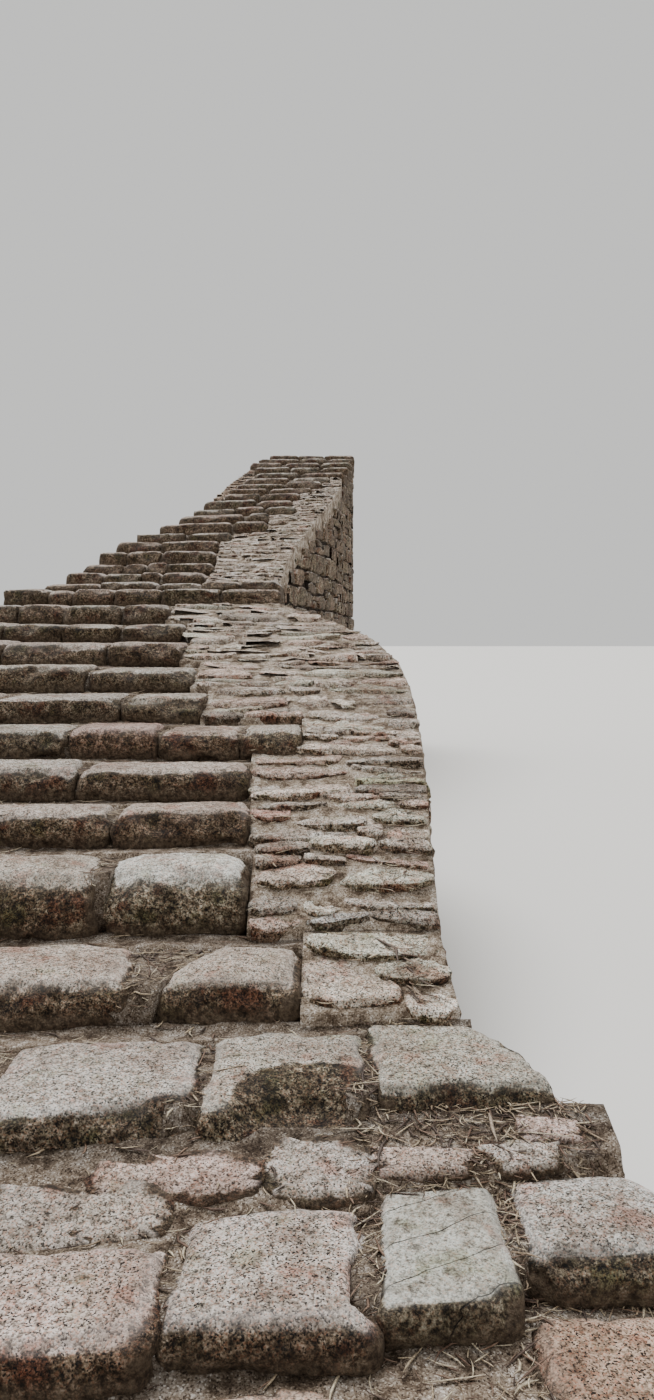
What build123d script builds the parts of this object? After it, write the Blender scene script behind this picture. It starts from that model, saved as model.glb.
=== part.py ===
"""Outdoor stone steps: a long flight of rough granite blocks with pitched stone beside it.

The flight climbs along +Y and bears right near its top. Each course is a row of blocks bedded a
little below the tread in front of it. Small stones laid in narrow rows pitch the ground beside the
treads. Dry stone walls with packed rubble between them carry everything down to one level foot.

All sizes are in millimetres. +Z is up. The origin is on the ground under the lowest course, at the
middle of its width.
"""

from build123d import *
from dataclasses import dataclass
import math
import os

# How far the origin lies in from the foot of the lowest riser
ORIGIN_INSET = 150

# How the masonry is put together
BED_DEPTH = 60
JOINT = 24
WALL_THICKNESS = 280
PITCHING_ROWS = 3
EARTH_DROP = 15
EARTH_SET_BACK = 60
FLAG_THICKNESS = 48
FLAG_STAND = 6
FLAG_JOINT = 10

# The earth of the wide tread is banked up towards the riser behind it: its slopes back and across
BANK_SLOPE = 0.22
BANK_TILT = 0.01

# The open bed joints of the walling, one to each lift of stones
WALL_LIFT = 400
BED_JOINT = 26
BED_JOINT_REACH = 30

# How a block is dressed
NOSE_CUT = 30
EDGE_CUT = 16
CORNER_CUT = 22
BATTER = 7
TOP_FALL = 0.018
UNEVENNESS = 10

# The lower flight ends at this course, and the upper one starts above it
LOWER_COURSES = 14

# The left edge of the lower flight is straight, and its first courses are as wide on the right
LEFT_EDGE = -1800
RIGHT_EDGE = 1800
OUT = "parts"


@dataclass
class Course:
    """One riser and the tread behind it. The x values run from left to right across the steps."""

    rise: float
    going: float
    strip: float
    skew: float
    left: float
    joints: tuple
    right: float
    bank: float = None
    edge: float = None
    setbacks: dict = None
    depths: dict = None
    tapers: dict = None
    flagged: bool = False
    nose: float = NOSE_CUT

    def __post_init__(self):
        """Puts the outer edges at the ends of the blocks where no pitching runs beside them."""
        self.bank = self.left if self.bank is None else self.bank
        self.edge = self.right if self.edge is None else self.edge
        self.setbacks = self.setbacks or {}
        self.depths = self.depths or {}
        self.tapers = self.tapers or {}


# Real sizes of each course, worked out from the photograph, from the lowest to the highest
COURSES = [
    Course(150, 420, 45, 0.10, LEFT_EDGE, (-1260, -690, -100, 482, 948, 1222), RIGHT_EDGE, depths={5: 230}),
    Course(
        rise=110,
        going=650,
        strip=215,
        skew=0.13,
        left=LEFT_EDGE,
        joints=(-1210, -640, -90, 440, 913, 1239),
        right=RIGHT_EDGE,
        setbacks={3: -30, 6: 110},
        depths={3: 330, 4: 400, 5: 450, 6: 350},
        flagged=True,
    ),
    Course(165, 580, 75, 0.10, LEFT_EDGE, (-1290, -790, -190, 437, 925), 1480, setbacks={5: 50}),
    Course(
        rise=140,
        going=490,
        strip=50,
        skew=0.06,
        left=LEFT_EDGE,
        joints=(-1500, -1020, -480, 150),
        right=713,
        edge=1260,
        tapers={4: 240},
        nose=46,
    ),
    Course(245, 460, 60, 0.03, LEFT_EDGE, (-1200, -620, -64), 504, edge=1240, nose=60),
    Course(150, 340, 50, 0.01, LEFT_EDGE, (-1240, -690, -100), 467, edge=1250, nose=34),
    Course(135, 380, 60, 0.00, LEFT_EDGE, (-1330, -860, -326), 440, edge=1270),
    Course(135, 450, 80, 0.00, LEFT_EDGE, (-1400, -960, -468, -19, 380), 670, edge=1290),
    Course(145, 470, 90, 0.00, LEFT_EDGE, (-1420, -960, -284), 132, edge=1300),
    Course(130, 530, 120, 0.00, LEFT_EDGE, (-1190, -579), 16, edge=1300),
    Course(145, 600, 150, 0.00, LEFT_EDGE, (-1250, -585), -124, edge=1270),
    Course(130, 570, 140, 0.00, LEFT_EDGE, (-1430, -1024, -621), -204, edge=1130),
    Course(145, 520, 120, 0.00, LEFT_EDGE, (-1500, -1158, -730), -397, edge=860),
    Course(145, 520, 120, -0.03, -1780, (-1431, -1225, -901, -521, -46), 430),
    Course(90, 570, 160, -0.07, -1620, (-1135, -653, -273, 65), 400),
    Course(115, 500, 130, -0.12, -1598, (-1254, -892, -711), -304, edge=400),
    Course(135, 410, 70, -0.16, -1560, (-1185, -945, -754), -293, edge=410),
    Course(145, 370, 60, -0.19, -1527, (-1226, -875), -313, edge=440),
    Course(140, 410, 60, -0.22, -1440, (-940,), -336, edge=490),
    Course(125, 405, 60, -0.24, -1290, (-735,), -227, edge=560),
    Course(160, 415, 60, -0.25, -1118, (-259,), 142, edge=620),
    Course(140, 460, 70, -0.26, -954, (-146,), 119, edge=690),
    Course(130, 400, 60, -0.26, -820, (-298, 60), 418, edge=770),
    Course(140, 450, 70, -0.26, -745, (-75,), 369, edge=840),
    Course(145, 410, 60, -0.25, -509, (-52,), 457, bank=-700, edge=900),
    Course(125, 420, 60, -0.24, -498, (30,), 603, bank=-665, edge=950),
    Course(140, 420, 60, -0.23, -428, (233,), 732, bank=-630, edge=1000),
    Course(130, 420, 60, -0.20, -367, (286,), 842, bank=-590, edge=1025),
    Course(135, 380, 60, -0.17, -228, (414,), 1030, bank=-540),
    Course(140, 340, 50, -0.13, -256, (257, 700), 1100, bank=-440),
    Course(135, 380, 60, -0.09, -360, (140, 695), 1160),
    Course(130, 390, 60, -0.05, -260, (384, 800), 1200),
    Course(120, 600, 0, -0.02, -90, (340, 760), 1220),
]

# The flags on the wide lower tread, each by its centre, its width and its depth
FLAGS = [
    (-1010, 700, 330, 190),
    (-620, 745, 280, 180),
    (-265, 790, 310, 170),
    (88, 698, 315, 174),
    (298, 722, 184, 150),
    (285, 838, 116, 70),
    (472, 848, 262, 132),
    (786, 879, 250, 180),
    (1046, 918, 220, 76),
    (1318, 950, 162, 84),
    (1408, 1040, 132, 80),
]


def set_out(courses):
    """Gives every course its levels and the place of its riser, and adds the end of the last tread."""
    level = 0
    place = -ORIGIN_INSET
    for number, course in enumerate(courses):
        course.number = number + 1
        course.foot = level
        level += course.rise
        course.tread = level
        course.bed = max(course.foot - BED_DEPTH, 0)
        course.place = place
        place += course.going
    last = courses[-1]
    end = Course(0, 0, 0, 0.0, last.left, (), last.right, bank=last.bank, edge=last.edge)
    end.place = place
    for course, behind in zip(courses, courses[1:] + [end]):
        course.behind = behind
    return end


def spread(*keys):
    """A value from -1 to 1 that looks random, and is the same for the same whole numbers."""
    wave = math.sin(sum(key * factor for key, factor in zip(keys, (12.9898, 78.233, 37.719)))) * 43758.5453
    return 2 * (wave - math.floor(wave)) - 1


def blocks_across(course):
    """The number, left side and right side of each block, with half a joint taken off inner sides."""
    sides = [course.left, *course.joints, course.right]
    last = len(sides) - 2
    for index, (start, stop) in enumerate(zip(sides, sides[1:])):
        inner_start = start if index == 0 else start + JOINT / 2
        inner_stop = stop if index == last else stop - JOINT / 2
        yield index, inner_start, inner_stop


def riser_line(course, x, index=None):
    """How far along the riser's face is at x, in front of block number index."""
    return course.place + course.skew * x + course.setbacks.get(index, 0)


def riser_points(course):
    """The foot of a riser from its left edge to its right edge, as points."""
    points = [(course.bank, riser_line(course, course.bank))]
    for index, start, stop in blocks_across(course):
        points.append((start, riser_line(course, start, index)))
        points.append((stop, riser_line(course, stop, index)))
    points.append((course.edge, riser_line(course, course.edge, len(course.joints))))
    return points


def between(start, stop, share):
    """The point at this share of the way from start to stop."""
    return tuple(a + (b - a) * share for a, b in zip(start, stop))


def read_line(points, x):
    """How far along a line of points is at x."""
    for (x0, y0), (x1, y1) in zip(points, points[1:]):
        if x0 <= x <= x1 and x1 > x0:
            return y0 + (y1 - y0) * (x - x0) / (x1 - x0)
    nearest = min(points, key=lambda point: abs(point[0] - x))
    return nearest[1]


def riser_at(course, x):
    """How far along the foot of a riser is at x."""
    return read_line(riser_points(course), x)


def at_edge(course, index):
    """-1 for a block at the left edge of the steps, 1 for one at the right edge, otherwise 0."""
    if index == 0 and course.bank == course.left:
        return -1
    if index == len(course.joints) and course.edge == course.right:
        return 1
    return 0


def runs_back(course, index):
    """Whether a block reaches back to the next riser. Those at an outer edge do, to close the earth in."""
    return course.strip == 0 or (at_edge(course, index) != 0 and index not in course.depths)


def block_depth(course, index):
    """How deep a block is from front to back, where earth lies behind it."""
    return course.depths.get(index, course.going - course.strip)


def edge_point(course, way, depth):
    """The point on the outer edge of the steps that lies this deep behind a riser."""
    near_x, far_x = (course.bank, course.behind.bank) if way < 0 else (course.edge, course.behind.edge)
    near_y = riser_at(course, near_x)
    far_y = riser_at(course.behind, far_x)
    return between((near_x, near_y), (far_x, far_y), depth / (far_y - near_y))


def riser_between(course, start, stop):
    """The foot of a riser from x start to x stop, as points."""
    inner = [point for point in riser_points(course) if start < point[0] < stop]
    return [(start, riser_at(course, start)), *inner, (stop, riser_at(course, stop))]


def tidy(points):
    """The outline without points that repeat or lie in line with their neighbours."""
    kept = []
    for index, (x, y) in enumerate(points):
        x0, y0 = kept[-1] if kept else points[index - 1]
        x1, y1 = points[(index + 1) % len(points)]
        corner = (x - x0) * (y1 - y) - (y - y0) * (x1 - x)
        if abs(corner) > 1:
            kept.append((x, y))
    return kept


def column(points, bottom, top):
    """A solid with the plan outline points, from one level to another."""
    face = make_face(Polyline(*tidy(points), close=True))
    return Pos(0, 0, bottom) * extrude(face, top - bottom)


def trim(stone, point, normal):
    """The stone without what lies beyond the plane through point, on the side that normal points to."""
    return split(stone, bisect_by=Plane(origin=point, z_dir=normal), keep=Keep.BOTTOM)


def cut_edge(stone, middle, outward, depth, steepness):
    """The stone with a top edge cut off, by a plane as far in as depth."""
    normal = Vector(outward[0], outward[1], steepness).normalized()
    return trim(stone, Vector(*middle) - normal * depth, normal)


def dressed_block(course, index, outline, corners):
    """One block: a prism cut by the planes of its face, top and edges. Corners are its front and back."""
    seed = course.number
    front_left, front_right, back_right, back_left = corners
    lift = UNEVENNESS * spread(seed, index, 1)
    top = course.tread + lift - UNEVENNESS
    stone = column(outline, course.bed, top)
    middle_x = (front_left[0] + front_right[0]) / 2
    front_y = (front_left[1] + front_right[1]) / 2
    back_y = (back_left[1] + back_right[1]) / 2
    middle_y = (front_y + back_y) / 2
    half_width = (front_right[0] - front_left[0]) / 2
    fall_x = TOP_FALL * spread(seed, index, 2)
    fall_y = -TOP_FALL * (1 + spread(seed, index, 3))
    peak = abs(fall_x) * half_width + abs(fall_y) * (back_y - front_y) / 2
    stone = trim(stone, (middle_x, middle_y, top - peak), (fall_x, fall_y, 1))

    facing = Vector(course.skew, -1, 0).normalized()
    lean = math.tan(math.radians(BATTER * (1.3 + spread(seed, index, 4))))
    stone = trim(stone, (middle_x, front_y, course.foot), (facing.X, facing.Y, lean))
    nose = course.nose * (1 + 0.25 * spread(seed, index, 5))
    set_in = (course.rise - UNEVENNESS) * lean
    stone = cut_edge(stone, (middle_x, front_y + set_in, top), (facing.X, facing.Y), nose * 0.62, 0.95)
    stone = cut_edge(stone, (middle_x, back_y, top), (0, 1), EDGE_CUT * 0.7, 1.5)
    sides = ((front_left, back_left, -1), (front_right, back_right, 1))
    for front, back, way in sides:
        side = Vector(way * (back[1] - front[1]), -way * (back[0] - front[0]), 0).normalized()
        edge = EDGE_CUT * (1.2 + 0.6 * spread(seed, index, 6 + way))
        halfway = ((front[0] + back[0]) / 2, (front[1] + back[1]) / 2, top)
        stone = cut_edge(stone, halfway, (side.X, side.Y), edge, 1.1)
        corner = CORNER_CUT * (1.1 + 0.7 * spread(seed, index, 9 + way))
        diagonal = (side + facing).normalized()
        stone = trim(stone, Vector(*front, top) - diagonal * corner, diagonal)
    return stone


def block_backs(course, index, start, stop):
    """The back of a block, as points from left to right."""
    way = at_edge(course, index)
    if runs_back(course, index):
        far_left = course.behind.bank if way < 0 else start
        far_right = course.behind.edge if way > 0 else stop
        return riser_between(course.behind, far_left, far_right)
    depth = block_depth(course, index)
    back = [(x, riser_line(course, x, index) + depth) for x in (start + course.tapers.get(index, 0), stop)]
    if way < 0:
        back[0] = edge_point(course, way, depth)
    if way > 0:
        back[1] = edge_point(course, way, depth)
    return back


def course_blocks(course):
    """The blocks of one course."""
    solids = []
    for index, start, stop in blocks_across(course):
        front = [(x, riser_line(course, x, index)) for x in (start, stop)]
        back = block_backs(course, index, start, stop)
        corners = (front[0], front[1], back[-1], back[0])
        solids.append(dressed_block(course, index, front + back[::-1], corners))
    return solids


def strip_front(course):
    """The front of the strip of earth behind a course, along the backs of its blocks, as points."""
    blocks = [block for block in blocks_across(course) if not runs_back(course, block[0])]
    points = []
    for index, start, stop in blocks:
        backs = block_backs(course, index, start, stop)
        if index in course.tapers:
            front_y = riser_line(course, start, index)
            share = EARTH_SET_BACK / (backs[0][1] - front_y)
            points.append((start - JOINT, front_y + EARTH_SET_BACK))
            points.append((start + course.tapers[index] * share, front_y + EARTH_SET_BACK))
        points += backs
    first, last = blocks[0], blocks[-1]
    if first[0] > 0:
        points.insert(0, (first[1] - JOINT, points[0][1]))
    if last[0] < len(course.joints):
        points.append((last[2] + JOINT, points[-1][1]))
    return points


def earth_strip(course):
    """The packed earth between the backs of the blocks and the next riser."""
    front = strip_front(course)
    start = course.behind.bank if at_edge(course, 0) and not runs_back(course, 0) else front[0][0]
    last = len(course.joints)
    stop = course.behind.edge if at_edge(course, last) and not runs_back(course, last) else front[-1][0]
    back = riser_between(course.behind, start, stop)
    if course.flagged:
        strip = column(front + back[::-1], course.bed, course.tread + course.rise)
        return trim(strip, *bank_plane(course, FLAG_STAND - FLAG_THICKNESS))
    return column(front + back[::-1], course.bed, course.tread - EARTH_DROP)


def bank_plane(course, lift):
    """The plane parallel to the banked earth that is this far above the tread at the strip's front."""
    front_y = riser_at(course.behind, 0) - course.strip
    normal = Vector(BANK_SLOPE * course.behind.skew - BANK_TILT, -BANK_SLOPE, 1)
    return Vector(0, front_y, course.tread + lift), normal


def pitched_rows(course, inner, outer, outer_behind):
    """The pitching beside one course: narrow rows that rise in small steps, as one mass."""
    near = (inner, riser_at(course, inner))
    far = (inner, riser_at(course.behind, inner))
    near_outer = (outer, riser_at(course, outer))
    far_outer = (outer_behind, riser_at(course.behind, outer_behind))
    rows = []
    for row in range(PITCHING_ROWS):
        low = row / PITCHING_ROWS
        high = (row + 1) / PITCHING_ROWS
        outline = [
            between(near, far, low),
            between(near_outer, far_outer, low),
            between(near_outer, far_outer, high),
            between(near, far, high),
        ]
        rows.append(column(outline, course.bed, course.foot + course.rise * high))
    return rows


def right_pitching(courses):
    """The pitching on the right of these courses."""
    rows = []
    for course in courses:
        if course.edge > course.right:
            rows += pitched_rows(course, course.right, course.edge, course.behind.edge)
    return rows


def left_bank(courses):
    """The narrow bank of small stones on the left of the upper flight."""
    rows = []
    for course in courses:
        if course.bank < course.left:
            rows += pitched_rows(course, course.left, course.bank, course.behind.bank)
    return rows


def carrying(courses, near_sides, far_sides, stop_short=0):
    """The mass under these courses between two lines. Each side is a function of a course."""
    columns = []
    for course in courses:
        if course.bed > 0:
            front = riser_between(course, *near_sides(course))
            back = riser_between(course.behind, *far_sides(course.behind))
            if course is COURSES[-1]:
                back = [(x, y - stop_short) for x, y in back]
            columns.append(column(front + back[::-1], 0, course.bed))
    return columns


def left_wall_sides(course):
    """The faces of the left wall at a riser."""
    return course.bank, course.bank + WALL_THICKNESS


def right_wall_sides(course):
    """The faces of the right wall at a riser."""
    return course.edge - WALL_THICKNESS, course.edge


def core_sides(course):
    """The sides of the packed rubble at a riser."""
    return course.bank + WALL_THICKNESS, course.edge - WALL_THICKNESS


def back_wall(end):
    """The wall under the top tread's far end."""
    top = COURSES[-1]
    far = riser_between(end, end.bank, end.edge)
    near = [(x, y - WALL_THICKNESS) for x, y in far]
    return column(near + far[::-1], 0, top.bed)


def flag(course, number, x, y, width, depth):
    """One flat stone on the wide tread, with six or seven uneven corners, laid on the banked earth."""
    sides = 7 if number % 2 else 6
    points = []
    for side in range(sides):
        angle = 2 * math.pi * (side + 0.5 + 0.2 * spread(number, side, 1)) / sides
        across, along = math.cos(angle), math.sin(angle)
        reach = (0.94 + 0.06 * spread(number, side, 2)) / (abs(across) ** 3 + abs(along) ** 3) ** (1 / 3)
        points.append(
            (
                x + (width - FLAG_JOINT) / 2 * reach * across,
                y + (depth - FLAG_JOINT) / 2 * reach * along,
            )
        )
    stone = column(points, course.bed, course.tread + course.rise)
    under, upward = bank_plane(course, FLAG_STAND - FLAG_THICKNESS)
    stone = trim(stone, under, -upward)
    over, upward = bank_plane(course, FLAG_STAND)
    return trim(stone, over, upward)


def edge_line(courses, way):
    """The outer edge of these courses on one side, as points from the lowest to the highest."""
    points = []
    for course in [*courses, courses[-1].behind]:
        x = course.bank if way < 0 else course.edge
        points.append((x, riser_at(course, x)))
    return points


def bed_joints(line, out):
    """The room of the open bed joints along a line of walling. Out is the way that its face looks."""
    outside = [(x + out[0] * BED_JOINT_REACH, y + out[1] * BED_JOINT_REACH) for x, y in line]
    inside = [(x - out[0] * BED_JOINT_REACH, y - out[1] * BED_JOINT_REACH) for x, y in line]
    ring = outside + inside[::-1]
    levels = [WALL_LIFT * lift for lift in range(1, math.ceil(COURSES[-1].bed / WALL_LIFT))]
    return [column(ring, level - BED_JOINT / 2, level + BED_JOINT / 2) for level in levels]


def fused(solids):
    """The solids joined into one mass."""
    return solids[0].fuse(*solids[1:]).clean() if len(solids) > 1 else solids[0]


def write(name, shapes):
    """Writes one piece, or several like ones, as the node called name."""
    export_step(Compound(children=[Part(shape.wrapped) for shape in shapes]), f"{OUT}/{name}.step")


def main():
    """Builds every piece and writes it."""
    os.makedirs(OUT, exist_ok=True)
    end = set_out(COURSES)
    lower = COURSES[:LOWER_COURSES]
    upper = COURSES[LOWER_COURSES:]

    for course in COURSES:
        write(f"step_{course.number:02d}", course_blocks(course))
    wide = next(course for course in COURSES if course.flagged)
    write("tread_flags", [flag(wide, number, *sizes) for number, sizes in enumerate(FLAGS)])
    write("tread_earth", [earth_strip(course) for course in COURSES if course.strip > 0])

    write("lower_pitching", [fused(right_pitching(lower))])
    write("upper_pitching", [fused(right_pitching(upper))])
    write("left_bank", [fused(left_bank(upper))])

    left_joints = bed_joints(edge_line(COURSES, -1), (-1, 0))
    right_joints = bed_joints(edge_line(COURSES, 1), (1, 0))
    far_line = [(x, riser_at(end, x)) for x in (end.bank, end.edge)]
    for flight, courses in (("lower", lower), ("upper", upper)):
        left = carrying(courses, left_wall_sides, left_wall_sides, WALL_THICKNESS)
        right = carrying(courses, right_wall_sides, right_wall_sides, WALL_THICKNESS)
        core = carrying(courses, core_sides, core_sides, WALL_THICKNESS)
        write(f"{flight}_left_wall", [fused(left).cut(*left_joints)])
        write(f"{flight}_right_wall", [fused(right).cut(*right_joints)])
        write(f"{flight}_rubble_core", [fused(core)])
    joints = left_joints + right_joints + bed_joints(far_line, (0, 1))
    write("back_wall", [back_wall(end).cut(*joints)])


main()
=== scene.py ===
"""Dresses the outdoor stone steps: rough granite blocks, pitched stone, dry stone walls, earth and litter.

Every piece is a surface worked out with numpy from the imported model's own solids, in metres.
"""

from __future__ import annotations

import logging
import math
from collections.abc import Callable
from dataclasses import dataclass, field
from enum import Enum
from itertools import product

import bpy
import numpy as np
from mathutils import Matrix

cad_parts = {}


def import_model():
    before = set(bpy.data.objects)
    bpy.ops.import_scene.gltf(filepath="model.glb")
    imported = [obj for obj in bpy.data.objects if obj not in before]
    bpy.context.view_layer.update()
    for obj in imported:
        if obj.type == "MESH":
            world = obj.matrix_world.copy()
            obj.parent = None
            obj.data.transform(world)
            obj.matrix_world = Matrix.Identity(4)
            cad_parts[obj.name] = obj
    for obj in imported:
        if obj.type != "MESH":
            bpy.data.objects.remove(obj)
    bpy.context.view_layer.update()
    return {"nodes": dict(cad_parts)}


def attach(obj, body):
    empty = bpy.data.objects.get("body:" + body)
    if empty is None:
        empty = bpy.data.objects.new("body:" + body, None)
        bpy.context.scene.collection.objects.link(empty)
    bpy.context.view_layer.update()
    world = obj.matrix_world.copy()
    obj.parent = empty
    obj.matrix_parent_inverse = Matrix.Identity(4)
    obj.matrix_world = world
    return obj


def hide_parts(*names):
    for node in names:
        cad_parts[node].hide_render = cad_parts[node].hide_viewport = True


Array = np.ndarray
Dice = np.random.Generator
Material = bpy.types.Material
Socket = bpy.types.NodeSocket
Pattern = Callable[[Array, float | tuple, int], Array]
Accents = tuple[tuple[float, float, str], ...]
LOG = logging.getLogger("stone_steps")
MM = 0.001
DARKEN = {"data_type": "RGBA", "blend_type": "MULTIPLY"}


class Slot(Enum):
    """The record's material slots, one given with each piece's finish."""

    BLOCKS = "granite_blocks"
    WALLING = "dry_stone_walling"
    EARTH = "trodden_earth"
    PITCHING = "granite_pitching"


class Side(Enum):
    """Which edge of the steps a wall stands under."""

    LEFT = "left"
    RIGHT = "right"
    BACK = "back"


def linear(code: str) -> tuple[float, float, float, float]:
    """Turns an sRGB hex value to linear red, green, blue and alpha.

    Args:
        code: Six hex digits after a hash sign.

    Returns:
        The four linear values, with alpha 1.
    """
    parts = [int(code[i : i + 2], 16) / 255 for i in (1, 3, 5)]
    return (*(p / 12.92 if p <= 0.04045 else ((p + 0.055) / 1.055) ** 2.4 for p in parts), 1.0)


def ease(values: Array, low: float, high: float) -> Array:
    """A smooth step from 0 at low to 1 at high."""
    t = np.clip((values - low) / (high - low), 0, 1)
    return t * t * (3 - 2 * t)


def unit(vectors: Array) -> Array:
    """Vectors along the last axis, each made 1 long."""
    return vectors / np.maximum(np.linalg.norm(vectors, axis=-1, keepdims=True), 1e-12)


def marks_by(weights: Array) -> Array:
    """Marks from 0 to 1 that cut a length into parts as long as the weights say."""
    sums = np.cumsum(weights)
    return np.concatenate([[0], sums / sums[-1]])


def scramble(cells: Array, seed: int) -> Array:
    """A value from -1 to 1 for each whole-number cell, by mixing the bits of its three numbers.

    Args:
        cells: Whole numbers, three to a cell, along the last axis.
        seed: Picks one of many patterns.

    Returns:
        One value for each cell.
    """
    part = cells.astype(np.uint64)
    mixed = part[..., 0] * np.uint64(0x9E3779B185EBCA87) + part[..., 1] * np.uint64(0xC2B2AE3D27D4EB4F)
    mixed = mixed + part[..., 2] * np.uint64(0x165667B19E3779F9) + np.uint64(seed * 7919 + 1)
    for shift in (31, 29, 32):
        mixed = (mixed ^ (mixed >> np.uint64(shift))) * np.uint64(0xD6E8FEB86659FD93)
    return (mixed >> np.uint64(11)).astype(np.float64) / 2**52 - 1


def lumps(points: Array, size: float | tuple, seed: int) -> Array:
    """Smooth noise from -1 to 1: the values of a cell's eight corners, blended by a fifth-degree ease.

    Args:
        points: Places in metres, along the last axis.
        size: The size of a lump in metres, one for all axes or one for each.
        seed: Picks one of many patterns.

    Returns:
        One value for each point.
    """
    scaled = points / np.asarray(size)
    base = np.floor(scaled)
    part = scaled - base
    blend = part**3 * (part * (part * 6 - 15) + 10)
    base = base.astype(np.int64)
    total = np.zeros(points.shape[:-1])
    for corner in product((0, 1), repeat=3):
        weight = np.prod(np.where(np.array(corner), blend, 1 - blend), axis=-1)
        total += weight * scramble(base + np.array(corner), seed)
    return total


def facets(points: Array, size: float | tuple, seed: int) -> Array:
    """A broken surface of tilted flat patches: each point takes the plane of the nearest scattered centre.

    Space is cut into cells with one centre in each, moved about by chance. A patch has its own offset and
    tilt, so the values jump a little where two patches meet, as on a split face.

    Args:
        points: Places in metres, along the last axis.
        size: The size of a patch in metres, one for all axes or one for each.
        seed: Picks one of many patterns.

    Returns:
        One value for each point, mostly from -1 to 1.
    """
    scaled = points / np.asarray(size)
    base = np.floor(scaled).astype(np.int64)
    nearest = np.full(points.shape[:-1], np.inf)
    owner = base.copy()
    offset = np.zeros_like(scaled)
    for corner in product((-1, 0, 1), repeat=3):
        cell = base + np.array(corner)
        centre = cell + 0.5 + 0.45 * np.stack([scramble(cell, seed + axis) for axis in range(3)], -1)
        away = ((scaled - centre) ** 2).sum(-1)
        closer = away < nearest
        nearest = np.where(closer, away, nearest)
        owner[closer] = cell[closer]
        offset[closer] = (scaled - centre)[closer]
    tilt = np.stack([scramble(owner, seed + axis) for axis in (4, 5, 6)], -1)
    return 0.45 * scramble(owner, seed + 3) + 0.9 * (tilt * offset).sum(-1)


def bilinear(corners: Array, u: Array, v: Array) -> Array:
    """The point at u across and v back between four corners, by blending along both.

    Args:
        corners: Front left, front right, back right and back left.
        u: How far across, from 0 to 1.
        v: How far back, from 0 to 1.

    Returns:
        The points, with their places along the last axis.
    """
    u, v = np.asarray(u)[..., None], np.asarray(v)[..., None]
    front = corners[0] * (1 - u) + corners[1] * u
    back = corners[3] * (1 - u) + corners[2] * u
    return front * (1 - v) + back * v


def placed(name: str, data: bpy.types.ID) -> bpy.types.Object:
    """A new object in the scene, made of the data."""
    made = bpy.data.objects.new(name, data)
    bpy.context.scene.collection.objects.link(made)
    return made


@dataclass
class Surface:
    """Points with the faces between them, a tint and a record of the weather at each point."""

    points: Array
    quads: Array
    caps: list[Array]
    tint: Array
    weather: Array

    @staticmethod
    def joined(parts: list[Surface]) -> Surface:
        """Several surfaces as one.

        Args:
            parts: The surfaces, each closed on its own.

        Returns:
            The one surface, whose parts stay closed.
        """
        starts = np.cumsum([0] + [len(part.points) for part in parts[:-1]])
        return Surface(
            np.concatenate([part.points for part in parts]),
            np.concatenate([part.quads + start for part, start in zip(parts, starts)]),
            [cap + start for part, start in zip(parts, starts) for cap in part.caps],
            np.concatenate([part.tint for part in parts]),
            np.concatenate([part.weather for part in parts]),
        )

    @staticmethod
    def repeated(points: Array, quads: Array, caps: list[Array], tint: Array, weather: Array) -> Surface:
        """Many bodies that share one pattern of faces.

        Args:
            points: The points of each body, along the second last axis.
            quads: The four-sided faces of one body.
            caps: Its closing faces.
            tint: The tint of each body.
            weather: The weather at each point.

        Returns:
            The closed bodies as one surface.
        """
        count, size = points.shape[:2]
        shift = np.arange(count)[:, None] * size
        return Surface(
            points.reshape(-1, 3),
            (quads[None] + shift[..., None]).reshape(-1, 4),
            [row for cap in caps for row in cap[None] + shift],
            np.repeat(np.clip(tint, 0, 1), size, axis=0),
            weather.reshape(-1, 4),
        )

    def to_piece(self, name: str, finish: Material, slot: Slot, stands_for: tuple[str, ...] = ()) -> None:
        """Makes the surface a piece that rides on the steps and stops at the ground.

        Args:
            name: The piece's name.
            finish: Its material.
            slot: The record's slot that the finish belongs to. It is not used.
            stands_for: The CAD nodes that the piece replaces.
        """
        self.points[:, 2] = np.maximum(self.points[:, 2], 0.0)
        mesh = bpy.data.meshes.new(name)
        sizes = np.array([4] * len(self.quads) + [len(cap) for cap in self.caps], dtype=np.int32)
        corners = np.concatenate([self.quads.ravel(), *self.caps]).astype(np.int32)
        mesh.vertices.add(len(self.points))
        mesh.vertices.foreach_set("co", self.points.astype(np.float32).ravel())
        mesh.loops.add(len(corners))
        mesh.loops.foreach_set("vertex_index", corners)
        mesh.polygons.add(len(sizes))
        mesh.polygons.foreach_set("loop_start", (np.cumsum(sizes) - sizes).astype(np.int32))
        mesh.polygons.foreach_set("use_smooth", np.ones(len(sizes), dtype=bool))
        mesh.update(calc_edges=True)
        for label, values in (("tint", self.tint), ("weather", self.weather)):
            layer = mesh.attributes.new(label, "FLOAT_COLOR", "POINT")
            layer.data.foreach_set("color", values.astype(np.float32).ravel())
        mesh.materials.append(finish)
        piece = placed(name, mesh)
        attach(piece, "root")
        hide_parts(*stands_for)
        LOG.info("%s: %d triangles", name, int((sizes - 2).sum()))


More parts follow.
